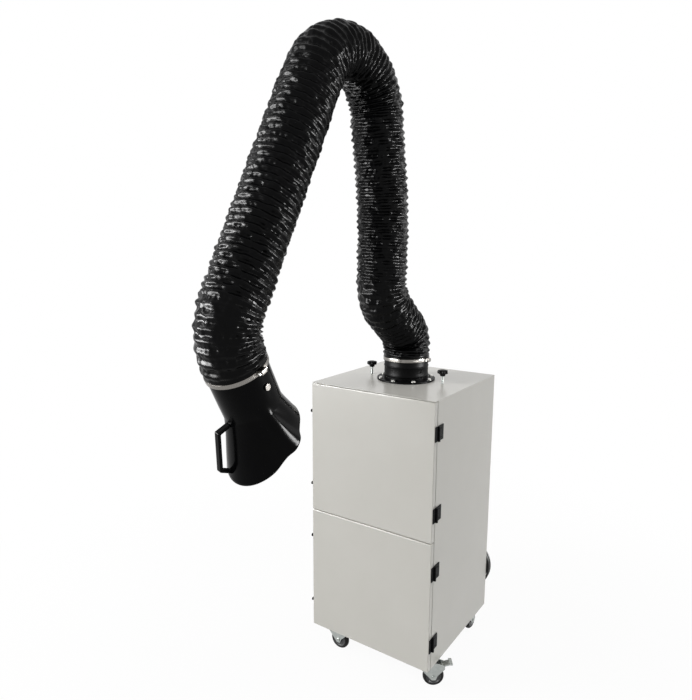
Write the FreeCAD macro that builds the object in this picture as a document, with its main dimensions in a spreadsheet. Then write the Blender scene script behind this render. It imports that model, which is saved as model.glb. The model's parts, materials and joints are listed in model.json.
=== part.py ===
import FreeCAD, Part
import math
import os
import re
import Sketcher

Vector = FreeCAD.Vector
Rotation = FreeCAD.Rotation

# A mobile fume extractor. Millimetres, +Z up, the origin on the floor under the cabinet's centre.
# The doors face -Y and the hose arm reaches out over them.

# Driving sizes, each a cell of the spreadsheet
SIZES = {
    # Cabinet of folded sheet
    "cabinet_width": 490,
    "cabinet_depth": 500,
    "cabinet_height": 950,
    "sheet_wall": 2,
    "base_wall": 3,
    "frame_border": 26,
    "middle_rail": 48,
    # Doors, seals, hinges and latches
    "door_depth": 22,
    "door_gap": 3,
    "lower_door_height": 468,
    "seal_inset": 8,
    "seal_width": 10,
    "hinge_height": 50,
    "hinge_inset": 109,
    "hinge_foot_inset": 95,
    "hinge_leaf_wall": 3,
    "hinge_frame_leaf": 32,
    "hinge_door_leaf": 14,
    "knuckle_radius": 5,
    "hinge_lap": 1,
    "hinge_pin_radius": 2.5,
    "latch_setback": 34,
    "latch_reach": 23,
    "latch_wall": 5,
    "latch_half_width": 8,
    "latch_pin_radius": 3,
    "latch_head_radius": 6,
    "keeper_pin_radius": 4,
    "notch_lead": 2,
    "keeper_height": 22,
    "keeper_width": 16,
    "keeper_wall": 2.5,
    "keeper_shift": 2,
    # Filter stack and its clamp
    "filter_side_room": 43,
    "filter_front_room": 26,
    "filter_rear_room": 48,
    "plenum_height": 115,
    "filter_rim": 18,
    "filter_seal_height": 6,
    "prefilter_height": 46,
    "clamp_bar": 72,
    "clamp_bar_lap": 20,
    "clamp_bar_height": 20,
    "clamp_boss_height": 12,
    "clamp_boss_radius": 11,
    "knob_offset": 148,
    "knob_radius": 19,
    "knob_height": 22,
    "knob_lobes": 7,
    "knob_scallop_radius": 5,
    "knob_edge": 3,
    "knob_flare": 1,
    "stud_radius": 5,
    "stem_height": 28,
    "stud_collar_radius": 9,
    "stud_collar_height": 8,
    # Blower
    "blower_radius": 150,
    "blower_height": 170,
    "blower_inlet_radius": 88,
    "impeller_radius": 122,
    "impeller_blade_height": 74,
    "impeller_blades": 12,
    "impeller_wall": 3,
    "impeller_lift": 10,
    "blade_lean": 25,
    "blade_start_share": 0.55,
    "blade_sink": 1,
    "hub_radius": 24,
    "shaft_radius": 10,
    "shaft_length": 70,
    "shaft_hole_gap": 4,
    "motor_radius": 66,
    "motor_height": 150,
    "motor_edge": 8,
    "motor_flange_radius": 88,
    "motor_flange_wall": 6,
    "outlet_offset": 92,
    "outlet_radius": 75,
    "outlet_length": 50,
    "outlet_wall": 2,
    "outlet_flange_radius": 93,
    # Inlet flange and swivel tube
    "tube_radius": 80,
    "tube_wall": 3,
    "tube_height": 87,
    "tube_foot_radius": 86,
    "tube_foot_height": 3,
    "flange_radius": 106,
    "flange_wall": 3,
    "flange_bolt_circle": 190,
    "flange_bolts": 8,
    "bolt_radius": 3,
    "bolt_head_radius": 6,
    "bolt_head_height": 5,
    # Hose and the route of its middle line, forward and up from the swivel axis
    "hose_cuff_wall": 2.5,
    "hose_overlap": 16,
    "hose_cuff_length": 18,
    "hose_bore_radius": 77,
    "hose_valley_radius": 79.5,
    "hose_rib_radius": 85,
    "hose_rib_pitch": 20,
    "hose_rib_slope_share": 0.3,
    "hose_rib_crest_share": 0.3,
    "hose_cuff_step": 1,
    "base_bend_rise": 80,
    "base_bend_radius": 95,
    "shoulder_forward": 183,
    "shoulder_rise": 133,
    "shoulder_bend_radius": 120,
    "middle_forward": -6,
    "middle_rise": 295,
    "middle_bend_radius": 900,
    "elbow_forward": 127,
    "elbow_rise": 796,
    "elbow_bend_radius": 174,
    "wrist_forward": 611,
    "wrist_drop": 1119,
    "wrist_bend_radius": 148,
    "hood_lean": 27,
    "hood_cuff_reach": 106,
    "clamp_band_width": 12,
    "clamp_band_wall": 1.2,
    "clamp_screw_length": 30,
    "clamp_screw_radius": 6,
    "clamp_screw_sink": 1,
    # Arm inside the hose
    "arm_radius": 14,
    "arm_wall": 2.5,
    "pivot_reach": 46,
    "pivot_eye_radius": 18,
    "pivot_cheek_wall": 5,
    "pivot_half_width": 13,
    "pivot_pin_radius": 6,
    "pivot_head_radius": 10,
    "pivot_head_height": 3,
    "pivot_bridge_share": 0.8,
    "post_foot_width": 40,
    "post_foot_wall": 6,
    "post_drop": 45,
    # Hood
    "hood_wall": 3,
    "neck_insert": 14,
    "neck_length": 126,
    "wrist_pivot_reach": 50,
    "wrist_bolt_radius": 5,
    "wrist_head_radius": 9,
    "wrist_head_height": 5,
    "mouth_reach": 112,
    "mouth_tilt": 45,
    "mouth_forward": 16,
    "mouth_half_length": 130,
    "mouth_half_width": 104,
    "handle_length": 140,
    "handle_stand_off": 30,
    "handle_width": 18,
    "handle_wall": 9,
    "handle_setback": 4,
    "handle_turn": 15,
    "handle_leg_sink": 12,
    # Castors
    "caster_height": 105,
    "caster_inset_x": 48,
    "caster_inset_y": 65,
    "caster_trail": 34,
    "caster_plate_length": 74,
    "caster_plate_width": 60,
    "caster_plate_wall": 3,
    "race_radius": 22,
    "race_height": 4,
    "kingpin_radius": 6,
    "kingpin_head_radius": 10,
    "kingpin_head_height": 6,
    "crown_wall": 5,
    "crown_lip": 6,
    "wheel_radius": 37.5,
    "wheel_width": 22,
    "wheel_hub_width": 26,
    "wheel_hub_radius": 13,
    "tyre_round": 5,
    "rim_recess": 3,
    "axle_radius": 4,
    "axle_head_radius": 7,
    "axle_head_height": 3,
    "fork_wall": 3,
    "fork_edge": 3,
    "fork_back_drop": 12,
    "pedal_angle": 52,
    "pedal_wheel_gap": 5,
    "pedal_pin_radius": 3,
    "pedal_eye_radius": 6,
    "pedal_length": 36,
    "pedal_rise": 10,
    "pedal_width": 34,
    "pedal_wall": 5,
    "heading_front_left": 0,
    "heading_front_right": 35,
    "heading_rear_left": -20,
    "heading_rear_right": 90,
    # Switch box, cord and hook at the rear
    "switch_box_width": 80,
    "switch_box_depth": 44,
    "switch_box_height": 100,
    "switch_box_bottom": 398,
    "switch_box_wall": 3,
    "rocker_width": 24,
    "rocker_height": 40,
    "rocker_depth": 12,
    "rocker_tilt": 10,
    "rocker_pin_radius": 2,
    "rocker_pin_sink": 1,
    "rocker_play": 2,
    "gland_radius": 12,
    "gland_length": 26,
    "gland_step": 2,
    "gland_tip_wall": 3,
    "cord_radius": 4.5,
    "cord_stand_off": 16,
    "coil_centre_x": 152,
    "coil_centre_z": 258,
    "coil_radius": 103.5,
    "coil_pitch": 10,
    "coil_turns": 5,
    "lower_tail_length": 78,
    "plug_radius": 18,
    "plug_length": 42,
    "plug_neck_wall": 2,
    "plug_pin_radius": 2.4,
    "plug_pin_length": 19,
    "plug_pin_sink": 2,
    "plug_pin_spacing": 19,
    "hook_plate_width": 30,
    "hook_plate_height": 60,
    "hook_plate_wall": 3,
    "hook_peg_radius": 6,
    "hook_tip_radius": 5,
    "hook_tip_height": 26,
    # Clearances
    "seat_gap": 0.3,
    "fit_gap": 0.05,
    "hole_gap": 0.5,
    "overcut": 1,
}

doc = FreeCAD.newDocument("fume_extractor")
sheet = doc.addObject("Spreadsheet::Sheet", "sizes")
for row, (alias, number) in enumerate(SIZES.items(), start=1):
    sheet.set(f"A{row}", alias)
    sheet.set(f"B{row}", str(number))
    sheet.setAlias(f"B{row}", alias)
doc.recompute()

# Levels and faces that several pieces share, as expressions of the sizes
BOTTOM = "caster_height"
TOP = "(caster_height + cabinet_height)"
SPLIT = "(caster_height + lower_door_height)"
SIDE = "(cabinet_width / 2)"
FRONT = "(door_depth - cabinet_depth / 2)"
REAR = "(cabinet_depth / 2)"
INNER_WIDTH = "(cabinet_width - 2 * sheet_wall)"
INNER_DEPTH = "(cabinet_depth - door_depth - 2 * sheet_wall)"
SHELF_TOP = f"({SPLIT} + sheet_wall / 2)"
SHELF_UNDER = f"({SPLIT} - sheet_wall / 2)"

ALIAS = re.compile(r"\b(" + "|".join(sorted(SIZES, key=len, reverse=True)) + r")\b")
NODES = []


def expression(text):
    """The text with every size written as a cell of the sheet."""
    return ALIAS.sub(r"sizes.\1", text)


def value(text):
    """The number that an expression of the sizes has now."""
    return float(sheet.evalExpression(expression(text)))


def bind(piece, sizes):
    for name, text in sizes.items():
        piece.setExpression(name, expression(text))
    return piece


def place(piece, corner):
    return bind(piece, {f"Placement.Base.{axis}": text for axis, text in zip("xyz", corner)})


def node(name, piece):
    """Name a finished sub-part and list it for export."""
    piece.Label = name
    NODES.append(piece)
    return piece


def box(name, size, corner):
    piece = doc.addObject("Part::Box", name)
    bind(piece, dict(zip(("Length", "Width", "Height"), size)))
    return place(piece, corner)


TURNS = {
    "x": Rotation(Vector(0, 1, 0), 90),
    "y": Rotation(Vector(1, 0, 0), -90),
    "z": Rotation(),
}


def rod(name, radius, length, start, axis="z"):
    piece = doc.addObject("Part::Cylinder", name)
    bind(piece, {"Radius": radius, "Height": length})
    piece.Placement.Rotation = TURNS[axis]
    return place(piece, start)


def group(name, pieces):
    piece = doc.addObject("Part::Compound", name)
    piece.Links = list(pieces)
    return piece


def fuse(name, pieces):
    piece = doc.addObject("Part::MultiFuse", name)
    piece.Shapes = list(pieces)
    return piece


def cut(name, base, tools):
    piece = doc.addObject("Part::Cut", name)
    piece.Base = base
    piece.Tool = tools[0] if len(tools) == 1 else group(name + "_tools", tools)
    return piece


def frame_ring(name, size, corner, border, along):
    """A rectangular ring: a box with a window through it along one axis."""
    outer = box(name + "_outer", size, corner)
    window, shift = [], []
    for axis, length, low, rim in zip("xyz", size, corner, border):
        if axis == along:
            window.append(f"{length} + 2 * overcut")
            shift.append(f"{low} - overcut")
        else:
            window.append(f"{length} - 2 * {rim}")
            shift.append(f"{low} + {rim}")
    return cut(name, outer, [box(name + "_window", window, shift)])


def polygon(body, name, role, corners):
    """A closed sketch whose corners are expressions of the sizes, on one of the body's own planes."""
    sketch = body.newObject("Sketcher::SketchObject", name)
    plane = next(p for p in body.Origin.OriginFeatures if p.Role == role)
    sketch.AttachmentSupport = [(plane, "")]
    sketch.MapMode = "FlatFace"
    spots = [tuple(value(text) for text in corner) for corner in corners]
    for spot, following in zip(spots, spots[1:] + spots[:1]):
        sketch.addGeometry(Part.LineSegment(Vector(*spot, 0), Vector(*following, 0)))
    for line in range(len(spots)):
        following = (line + 1) % len(spots)
        sketch.addConstraint(Sketcher.Constraint("Coincident", line, 2, following, 1))
    for line, corner in enumerate(corners):
        for kind, text in zip(("DistanceX", "DistanceY"), corner):
            if text == "0":
                edge = -2 if kind == "DistanceX" else -1
                sketch.addConstraint(Sketcher.Constraint("PointOnObject", line, 1, edge))
                continue
            number = sketch.addConstraint(Sketcher.Constraint(kind, -1, 1, line, 1, value(text)))
            sketch.setExpression(f"Constraints[{number}]", expression(text))
    return sketch


def turned(name, corners):
    """A body turned about Z from corners given as radius and height."""
    body = doc.addObject("PartDesign::Body", name)
    sketch = polygon(body, name + "_profile", "XZ_Plane", corners)
    turn = body.newObject("PartDesign::Revolution", name + "_turn")
    turn.Profile = sketch
    turn.ReferenceAxis = (sketch, ["V_Axis"])
    turn.Angle = 360
    return body


def padded(name, role, corners, length, start):
    """A body padded from a polygon, from start along the plane's normal."""
    body = doc.addObject("PartDesign::Body", name)
    sketch = polygon(body, name + "_profile", role, corners)
    sketch.setExpression("AttachmentOffset.Base.z", expression(start))
    pad = body.newObject("PartDesign::Pad", name + "_pad")
    pad.Profile = sketch
    pad.setExpression("Length", expression(length))
    return body


def feature(name, shape):
    piece = doc.addObject("Part::Feature", name)
    piece.Shape = shape
    return piece


# Cabinet panels: a base pan, two sides, a rear panel and a front frame under a top panel
FRAME_BACK = f"({FRONT} + sheet_wall)"
node("base_pan", box("base_pan", (INNER_WIDTH, INNER_DEPTH, "base_wall"),
                     (f"sheet_wall - {SIDE}", FRAME_BACK, BOTTOM)))
PANEL_DEPTH = "(cabinet_depth - door_depth)"
PANEL_HEIGHT = "(cabinet_height - sheet_wall)"
for name, low_x in (("left_side_panel", f"-{SIDE}"), ("right_side_panel", f"{SIDE} - sheet_wall")):
    node(name, box(name, ("sheet_wall", PANEL_DEPTH, PANEL_HEIGHT), (low_x, FRONT, BOTTOM)))

BOLT_HOLE = "bolt_radius + hole_gap"
flange_angles = [360 / value("flange_bolts") * count for count in range(int(value("flange_bolts")))]


def bolt_spot(angle):
    return f"flange_bolt_circle / 2 * sin({angle})", f"-flange_bolt_circle / 2 * cos({angle})"


UNDER_TOP = f"{TOP} - 2 * sheet_wall"
top_holes = [rod("inlet_hole", "tube_radius - tube_wall", "3 * sheet_wall", ("0", "0", UNDER_TOP))]
for side in (-1, 1):
    top_holes.append(rod("stem_hole", "stud_radius + hole_gap", "3 * sheet_wall",
                         (f"{side} * knob_offset", "0", UNDER_TOP)))
for angle in flange_angles:
    top_holes.append(rod("top_bolt_hole", BOLT_HOLE, "3 * sheet_wall", (*bolt_spot(angle), UNDER_TOP)))
top_plate = box("top_plate", ("cabinet_width", PANEL_DEPTH, "sheet_wall"),
                (f"-{SIDE}", FRONT, f"{TOP} - sheet_wall"))
node("top_panel", cut("top_panel", top_plate, top_holes))

OUTLET_HEIGHT = f"({SHELF_UNDER} - blower_height / 2)"
OUTLET_X = "(-outlet_offset)"
rear_plate = box("rear_plate", (INNER_WIDTH, "sheet_wall", PANEL_HEIGHT),
                 (f"sheet_wall - {SIDE}", f"{REAR} - sheet_wall", BOTTOM))
outlet_hole = rod("outlet_hole", "outlet_radius + hole_gap", "3 * sheet_wall",
                  (OUTLET_X, f"{REAR} - 2 * sheet_wall", OUTLET_HEIGHT), "y")
node("rear_panel", cut("rear_panel", rear_plate, [outlet_hole]))

front_plate = box("front_plate", (INNER_WIDTH, "sheet_wall", PANEL_HEIGHT),
                  (f"sheet_wall - {SIDE}", FRONT, BOTTOM))
DOORWAY = f"({INNER_WIDTH} - 2 * frame_border)"
doorways = [
    box("lower_doorway", (DOORWAY, "3 * sheet_wall", "lower_door_height - frame_border - middle_rail / 2"),
        (f"-{DOORWAY} / 2", f"{FRONT} - sheet_wall", f"{BOTTOM} + frame_border")),
    box("upper_doorway", (DOORWAY, "3 * sheet_wall",
                          "cabinet_height - lower_door_height - frame_border - middle_rail / 2 - sheet_wall"),
        (f"-{DOORWAY} / 2", f"{FRONT} - sheet_wall", f"{SPLIT} + middle_rail / 2")),
]
node("front_frame", cut("front_frame", front_plate, doorways))

shelf_plate = box("shelf_plate", (INNER_WIDTH, INNER_DEPTH, "sheet_wall"),
                  (f"sheet_wall - {SIDE}", FRAME_BACK, SHELF_UNDER))
shelf_hole = rod("shelf_hole", "blower_inlet_radius", "3 * sheet_wall",
                 ("0", "0", f"{SHELF_UNDER} - sheet_wall"))
node("filter_shelf", cut("filter_shelf", shelf_plate, [shelf_hole]))

# Doors: trays that cover the front, each closing on a seal that stands on the front frame
DOORS = {
    "lower": (BOTTOM, f"({SPLIT} - door_gap / 2)"),
    "upper": (f"({SPLIT} + door_gap / 2)", TOP),
}
seals = []
for name, (low, high) in DOORS.items():
    tray = box(f"{name}_door_block", ("cabinet_width", "door_depth", f"{high} - {low}"),
               (f"-{SIDE}", "-cabinet_depth / 2", low))
    hollow = box(f"{name}_door_hollow", (INNER_WIDTH, "door_depth", f"{high} - {low} - 2 * sheet_wall"),
                 (f"sheet_wall - {SIDE}", "sheet_wall - cabinet_depth / 2", f"{low} + sheet_wall"))
    node(f"{name}_door", cut(f"{name}_door", tray, [hollow]))
    seals.append(frame_ring(
        f"{name}_seal",
        ("(cabinet_width - 2 * seal_inset)", "(door_depth - sheet_wall - seat_gap)",
         f"({high} - {low} - 2 * seal_inset)"),
        (f"(seal_inset - {SIDE})", "(sheet_wall + seat_gap - cabinet_depth / 2)", f"({low} + seal_inset)"),
        ("seal_width", "seal_width", "seal_width"), "y"))
node("door_seals", group("door_seals", seals))

# Hinges on the right side: the frame leaf carries the pin and two knuckles, the door leaf one between
HINGE_X = f"({SIDE} + knuckle_radius)"
KNUCKLE = "(hinge_height / 3)"
HINGE_HEIGHTS = {
    name: (f"({low} + hinge_foot_inset)", f"({high} - hinge_inset)") for name, (low, high) in DOORS.items()
}


def frame_leaf(name, middle):
    leaf = box(name + "_leaf", ("hinge_leaf_wall", "hinge_frame_leaf", "hinge_height"),
               (SIDE, f"{FRONT} + knuckle_radius + seat_gap", f"{middle} - hinge_height / 2"))
    pieces = [leaf, rod(name + "_pin", "hinge_pin_radius", "hinge_height",
                        (HINGE_X, FRONT, f"{middle} - hinge_height / 2"))]
    for end, low in (("low", f"{middle} - hinge_height / 2"), ("high", f"{middle} + {KNUCKLE} / 2")):
        pieces.append(rod(f"{name}_{end}_knuckle", "knuckle_radius", KNUCKLE, (HINGE_X, FRONT, low)))
        pieces.append(box(f"{name}_{end}_tongue",
                          ("hinge_leaf_wall", "knuckle_radius + seat_gap + hinge_lap", KNUCKLE),
                          (SIDE, FRONT, low)))
    return fuse(name, pieces)


def door_leaf(name, middle):
    tall = f"({KNUCKLE} - 2 * seat_gap)"
    low = f"({middle} - {tall} / 2)"
    leaf = box(name + "_leaf", ("hinge_leaf_wall", "hinge_door_leaf", "hinge_height"),
               (SIDE, f"{FRONT} - knuckle_radius - seat_gap - hinge_door_leaf",
                f"{middle} - hinge_height / 2"))
    tongue = box(name + "_tongue", ("hinge_leaf_wall", "knuckle_radius + seat_gap + hinge_lap", tall),
                 (SIDE, f"{FRONT} - knuckle_radius - seat_gap - hinge_lap", low))
    knuckle = rod(name + "_knuckle", "knuckle_radius", tall, (HINGE_X, FRONT, low))
    bore = rod(name + "_bore", "hinge_pin_radius + fit_gap", f"{tall} + 2 * overcut",
               (HINGE_X, FRONT, f"{low} - overcut"))
    return cut(name, fuse(name + "_solid", [leaf, tongue, knuckle]), [bore])


frame_leaves = []
door_fittings = {door: [] for door in DOORS}
for door, heights in HINGE_HEIGHTS.items():
    for end, middle in zip(("low", "high"), heights):
        frame_leaves.append(frame_leaf(f"{door}_{end}_frame_leaf", middle))
        door_fittings[door].append(door_leaf(f"{door}_{end}_door_leaf", middle))
node("frame_hinge_leaves", group("frame_hinge_leaves", frame_leaves))

# Latches on the left side: a hook that hangs beside the door's keeper and swings up round its pin
LATCH_Y = "(latch_setback - cabinet_depth / 2)"
KEEPER_Y = f"({LATCH_Y} - latch_reach)"
HOOK_OUT = f"({SIDE} + keeper_wall + seat_gap + latch_wall)"
latch_bases = []
for door, heights in HINGE_HEIGHTS.items():
    for end, middle in zip(("low", "high"), heights):
        name = f"{door}_{end}_latch"
        plate = box(name + "_plate", ("keeper_wall", "2 * latch_half_width", "keeper_height"),
                    (f"-{SIDE} - keeper_wall", f"{LATCH_Y} - latch_half_width",
                     f"{middle} - keeper_height / 2"))
        pin = rod(name + "_pin", "latch_pin_radius", f"{HOOK_OUT} + seat_gap - {SIDE}",
                  (f"-{HOOK_OUT} - seat_gap", LATCH_Y, middle), "x")
        head = rod(name + "_head", "latch_head_radius", "keeper_wall",
                   (f"-{HOOK_OUT} - seat_gap - keeper_wall", LATCH_Y, middle), "x")
        latch_bases.append(fuse(name + "_base", [plate, pin, head]))

        keeper = box(name + "_keeper_plate", ("keeper_wall", "keeper_width", "keeper_height"),
                     (f"-{SIDE} - keeper_wall", f"{KEEPER_Y} - keeper_width / 2 + keeper_shift",
                      f"{middle} - keeper_height / 2"))
        catch = rod(name + "_catch", "keeper_pin_radius", f"{HOOK_OUT} + seat_gap - {SIDE}",
                    (f"-{HOOK_OUT} - seat_gap", KEEPER_Y, middle), "x")
        catch_head = rod(name + "_catch_head", "latch_head_radius", "keeper_wall",
                         (f"-{HOOK_OUT} - seat_gap - keeper_wall", KEEPER_Y, middle), "x")
        door_fittings[door].append(fuse(name + "_keeper", [keeper, catch, catch_head]))

        arm = box(name + "_arm", ("latch_wall", "2 * latch_half_width", "latch_reach + latch_half_width"),
                  (f"-{HOOK_OUT}", f"{LATCH_Y} - latch_half_width",
                   f"{middle} - latch_reach - latch_half_width"))
        eye = rod(name + "_eye", "latch_half_width", "latch_wall", (f"-{HOOK_OUT}", LATCH_Y, middle), "x")
        eye_hole = rod(name + "_eye_hole", "latch_pin_radius + fit_gap", "latch_wall + 2 * overcut",
                       (f"-{HOOK_OUT} - overcut", LATCH_Y, middle), "x")
        notch = box(name + "_notch", ("latch_wall + 2 * overcut",
                                      "latch_half_width + overcut + keeper_pin_radius + seat_gap",
                                      "2 * keeper_pin_radius + seat_gap + notch_lead"),
                    (f"-{HOOK_OUT} - overcut", f"{LATCH_Y} - latch_half_width - overcut",
                     f"{middle} - latch_reach - keeper_pin_radius - seat_gap"))
        hook = cut(name + "_hook", fuse(name + "_hook_solid", [arm, eye]), [eye_hole, notch])
        node(f"{name}_hook", hook)
    node(f"{door}_door_fittings", group(f"{door}_door_fittings", door_fittings[door]))
node("latch_bases", group("latch_bases", latch_bases))

# Filter stack on the shelf: seal, framed media, pre-filter and the frame that clamps them down
FILTER_WIDTH = f"({INNER_WIDTH} - 2 * filter_side_room)"
FILTER_DEPTH = f"({INNER_DEPTH} - filter_front_room - filter_rear_room)"
FILTER_FRONT = f"({FRAME_BACK} + filter_front_room)"
FILTER_LOW = f"({SHELF_TOP} + filter_seal_height)"
CLAMP_HIGH = f"({TOP} - sheet_wall - plenum_height)"
CLAMP_LOW = f"({CLAMP_HIGH} - clamp_bar_height)"
FILTER_HIGH = f"({CLAMP_LOW} - prefilter_height)"
FILTER_HEIGHT = f"({FILTER_HIGH} - {FILTER_LOW})"
FILTER_RIMS = ("filter_rim", "filter_rim", "filter_rim")
corner = (f"-{FILTER_WIDTH} / 2", FILTER_FRONT)
node("filter_cartridge", group("filter_cartridge", [
    frame_ring("filter_seal", (FILTER_WIDTH, FILTER_DEPTH, "filter_seal_height"),
               (*corner, SHELF_TOP), FILTER_RIMS, "z"),
    frame_ring("filter_frame", (FILTER_WIDTH, FILTER_DEPTH, FILTER_HEIGHT),
               (*corner, FILTER_LOW), FILTER_RIMS, "z"),
    box("filter_media",
        tuple(f"{size} - 2 * filter_rim" for size in (FILTER_WIDTH, FILTER_DEPTH, FILTER_HEIGHT)),
        tuple(f"{low} + filter_rim" for low in (*corner, FILTER_LOW))),
]))
node("prefilter_panel", box("prefilter_panel", (FILTER_WIDTH, FILTER_DEPTH, "prefilter_height"),
                            (*corner, FILTER_HIGH)))
CLAMP_SIDE_BAR = f"({FILTER_WIDTH} / 2 - knob_offset + clamp_bar_lap)"
clamp_ring = frame_ring("clamp_ring", (FILTER_WIDTH, FILTER_DEPTH, "clamp_bar_height"),
                        (*corner, CLAMP_LOW), (CLAMP_SIDE_BAR, "clamp_bar", "clamp_bar"), "z")
clamp_bosses = []
clamp_threads = []
for side in (-1, 1):
    spot = (f"{side} * knob_offset", "0")
    clamp_bosses.append(rod("clamp_boss", "clamp_boss_radius", "clamp_bar_height + clamp_boss_height",
                            (*spot, CLAMP_LOW)))
    clamp_threads.append(rod("clamp_thread", "stud_radius + fit_gap",
                             "clamp_bar_height + clamp_boss_height + 2 * overcut",
                             (*spot, f"{CLAMP_LOW} - overcut")))
clamp_solid = fuse("clamp_solid", [clamp_ring, *clamp_bosses])
node("filter_clamp_frame", cut("filter_clamp_frame", clamp_solid, clamp_threads))

# Star knobs on threaded stems through the top, each with a collar under the panel
STUD_LOW = f"({CLAMP_HIGH} - clamp_bar_height / 2)"
KNOB_LOW = f"({TOP} + stem_height)"
COLLAR_HIGH = f"({TOP} - sheet_wall - seat_gap)"
for name, side in (("left_clamp_knob", -1), ("right_clamp_knob", 1)):
    knob = turned(name + "_turned", [
        ("0", STUD_LOW),
        ("stud_radius", STUD_LOW),
        ("stud_radius", f"{COLLAR_HIGH} - stud_collar_height"),
        ("stud_collar_radius", f"{COLLAR_HIGH} - stud_collar_height"),
        ("stud_collar_radius", COLLAR_HIGH),
        ("stud_radius", COLLAR_HIGH),
        ("stud_radius", KNOB_LOW),
        ("knob_radius / 2", KNOB_LOW),
        ("knob_radius / 2 + knob_flare", f"{KNOB_LOW} + knob_height / 3"),
        ("knob_radius", f"{KNOB_LOW} + knob_height / 3"),
        ("knob_radius", f"{KNOB_LOW} + knob_height - knob_edge"),
        ("knob_radius - knob_edge", f"{KNOB_LOW} + knob_height"),
        ("0", f"{KNOB_LOW} + knob_height"),
    ])
    scallops = []
    for lobe in range(int(value("knob_lobes"))):
        angle = f"{lobe} * 360 / knob_lobes"
        scallops.append(rod(name + "_scallop", "knob_scallop_radius", "knob_height",
                            (f"(knob_radius + knob_scallop_radius / 3) * cos({angle})",
                             f"(knob_radius + knob_scallop_radius / 3) * sin({angle})",
                             f"{KNOB_LOW} + knob_height / 4")))
    star = cut(name, knob, scallops)
    node(name, place(star, (f"{side} * knob_offset", "0", "0")))

# Blower under the shelf: a drum with a duct to the rear, the motor below it and the impeller inside
BLOWER_LOW = f"({SHELF_UNDER} - blower_height)"
DUCT_HALF = "(outlet_radius + outlet_wall + hole_gap)"
drum = rod("drum", "blower_radius", "blower_height", ("0", "0", BLOWER_LOW))
duct = box("duct", (f"2 * {DUCT_HALF} + 2 * sheet_wall", f"{REAR} - sheet_wall", "blower_height"),
           (f"{OUTLET_X} - {DUCT_HALF} - sheet_wall", "0", BLOWER_LOW))
drum_hollow = rod("drum_hollow", "blower_radius - sheet_wall", "blower_height - 2 * sheet_wall",
                  ("0", "0", f"{BLOWER_LOW} + sheet_wall"))
duct_hollow = box("duct_hollow",
                  (f"2 * {DUCT_HALF}", f"{REAR} + sheet_wall", "blower_height - 2 * sheet_wall"),
                  (f"{OUTLET_X} - {DUCT_HALF}", "0", f"{BLOWER_LOW} + sheet_wall"))
housing_solid = fuse("housing_solid", [drum, duct])
housing_hollow = fuse("housing_hollow", [
    drum_hollow,
    duct_hollow,
    rod("housing_inlet", "blower_inlet_radius", "blower_height",
        ("0", "0", f"{SHELF_UNDER} - blower_height / 2")),
    rod("housing_shaft_hole", "shaft_radius + shaft_hole_gap", "blower_height",
        ("0", "0", f"{BLOWER_LOW} - blower_height / 2")),
])
node("blower_housing", cut("blower_housing", housing_solid, [housing_hollow]))

MOTOR_TOP = BLOWER_LOW
node("blower_motor", turned("blower_motor", [
    ("0", f"{MOTOR_TOP} - shaft_length"),
    ("shaft_radius + fit_gap", f"{MOTOR_TOP} - shaft_length"),
    ("shaft_radius + fit_gap", MOTOR_TOP),
    ("motor_flange_radius", MOTOR_TOP),
    ("motor_flange_radius", f"{MOTOR_TOP} - motor_flange_wall"),
    ("motor_radius", f"{MOTOR_TOP} - motor_flange_wall"),
    ("motor_radius", f"{MOTOR_TOP} - motor_height + motor_edge"),
    ("motor_radius - motor_edge", f"{MOTOR_TOP} - motor_height"),
    ("0", f"{MOTOR_TOP} - motor_height"),
]))

WHEEL_LOW = f"({BLOWER_LOW} + sheet_wall + impeller_lift)"
impeller_core = turned("impeller_core", [
    ("0", f"{MOTOR_TOP} - shaft_length + seat_gap"),
    ("shaft_radius", f"{MOTOR_TOP} - shaft_length + seat_gap"),
    ("shaft_radius", WHEEL_LOW),
    ("impeller_radius", WHEEL_LOW),
    ("impeller_radius", f"{WHEEL_LOW} + impeller_wall"),
    ("hub_radius", f"{WHEEL_LOW} + impeller_wall"),
    ("hub_radius", f"{WHEEL_LOW} + impeller_blade_height / 2"),
    ("0", f"{WHEEL_LOW} + impeller_blade_height / 2"),
])
blades = []
for count in range(int(value("impeller_blades"))):
    blade = doc.addObject("Part::Box", "impeller_blade")
    bind(blade, {"Length": "impeller_radius / 2", "Width": "impeller_wall",
                 "Height": "impeller_blade_height"})
    angle = 360 / value("impeller_blades") * count
    blade.Placement.Rotation = Rotation(Vector(0, 0, 1), angle + value("blade_lean"))
    blades.append(place(blade, (f"impeller_radius * blade_start_share * cos({angle})",
                                f"impeller_radius * blade_start_share * sin({angle})",
                                f"{WHEEL_LOW} + blade_sink")))
node("impeller", fuse("impeller", [impeller_core, *blades]))

spigot = turned("exhaust_spigot", [
    ("outlet_radius - outlet_wall", "-sheet_wall"),
    ("outlet_radius", "-sheet_wall"),
    ("outlet_radius", "0"),
    ("outlet_flange_radius", "0"),
    ("outlet_flange_radius", "outlet_wall"),
    ("outlet_radius", "outlet_wall"),
    ("outlet_radius", "outlet_length + outlet_wall"),
    ("outlet_radius - outlet_wall", "outlet_length + outlet_wall"),
])
spigot.Placement.Rotation = TURNS["y"]
node("exhaust_spigot", place(spigot, (OUTLET_X, REAR, OUTLET_HEIGHT)))

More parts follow.
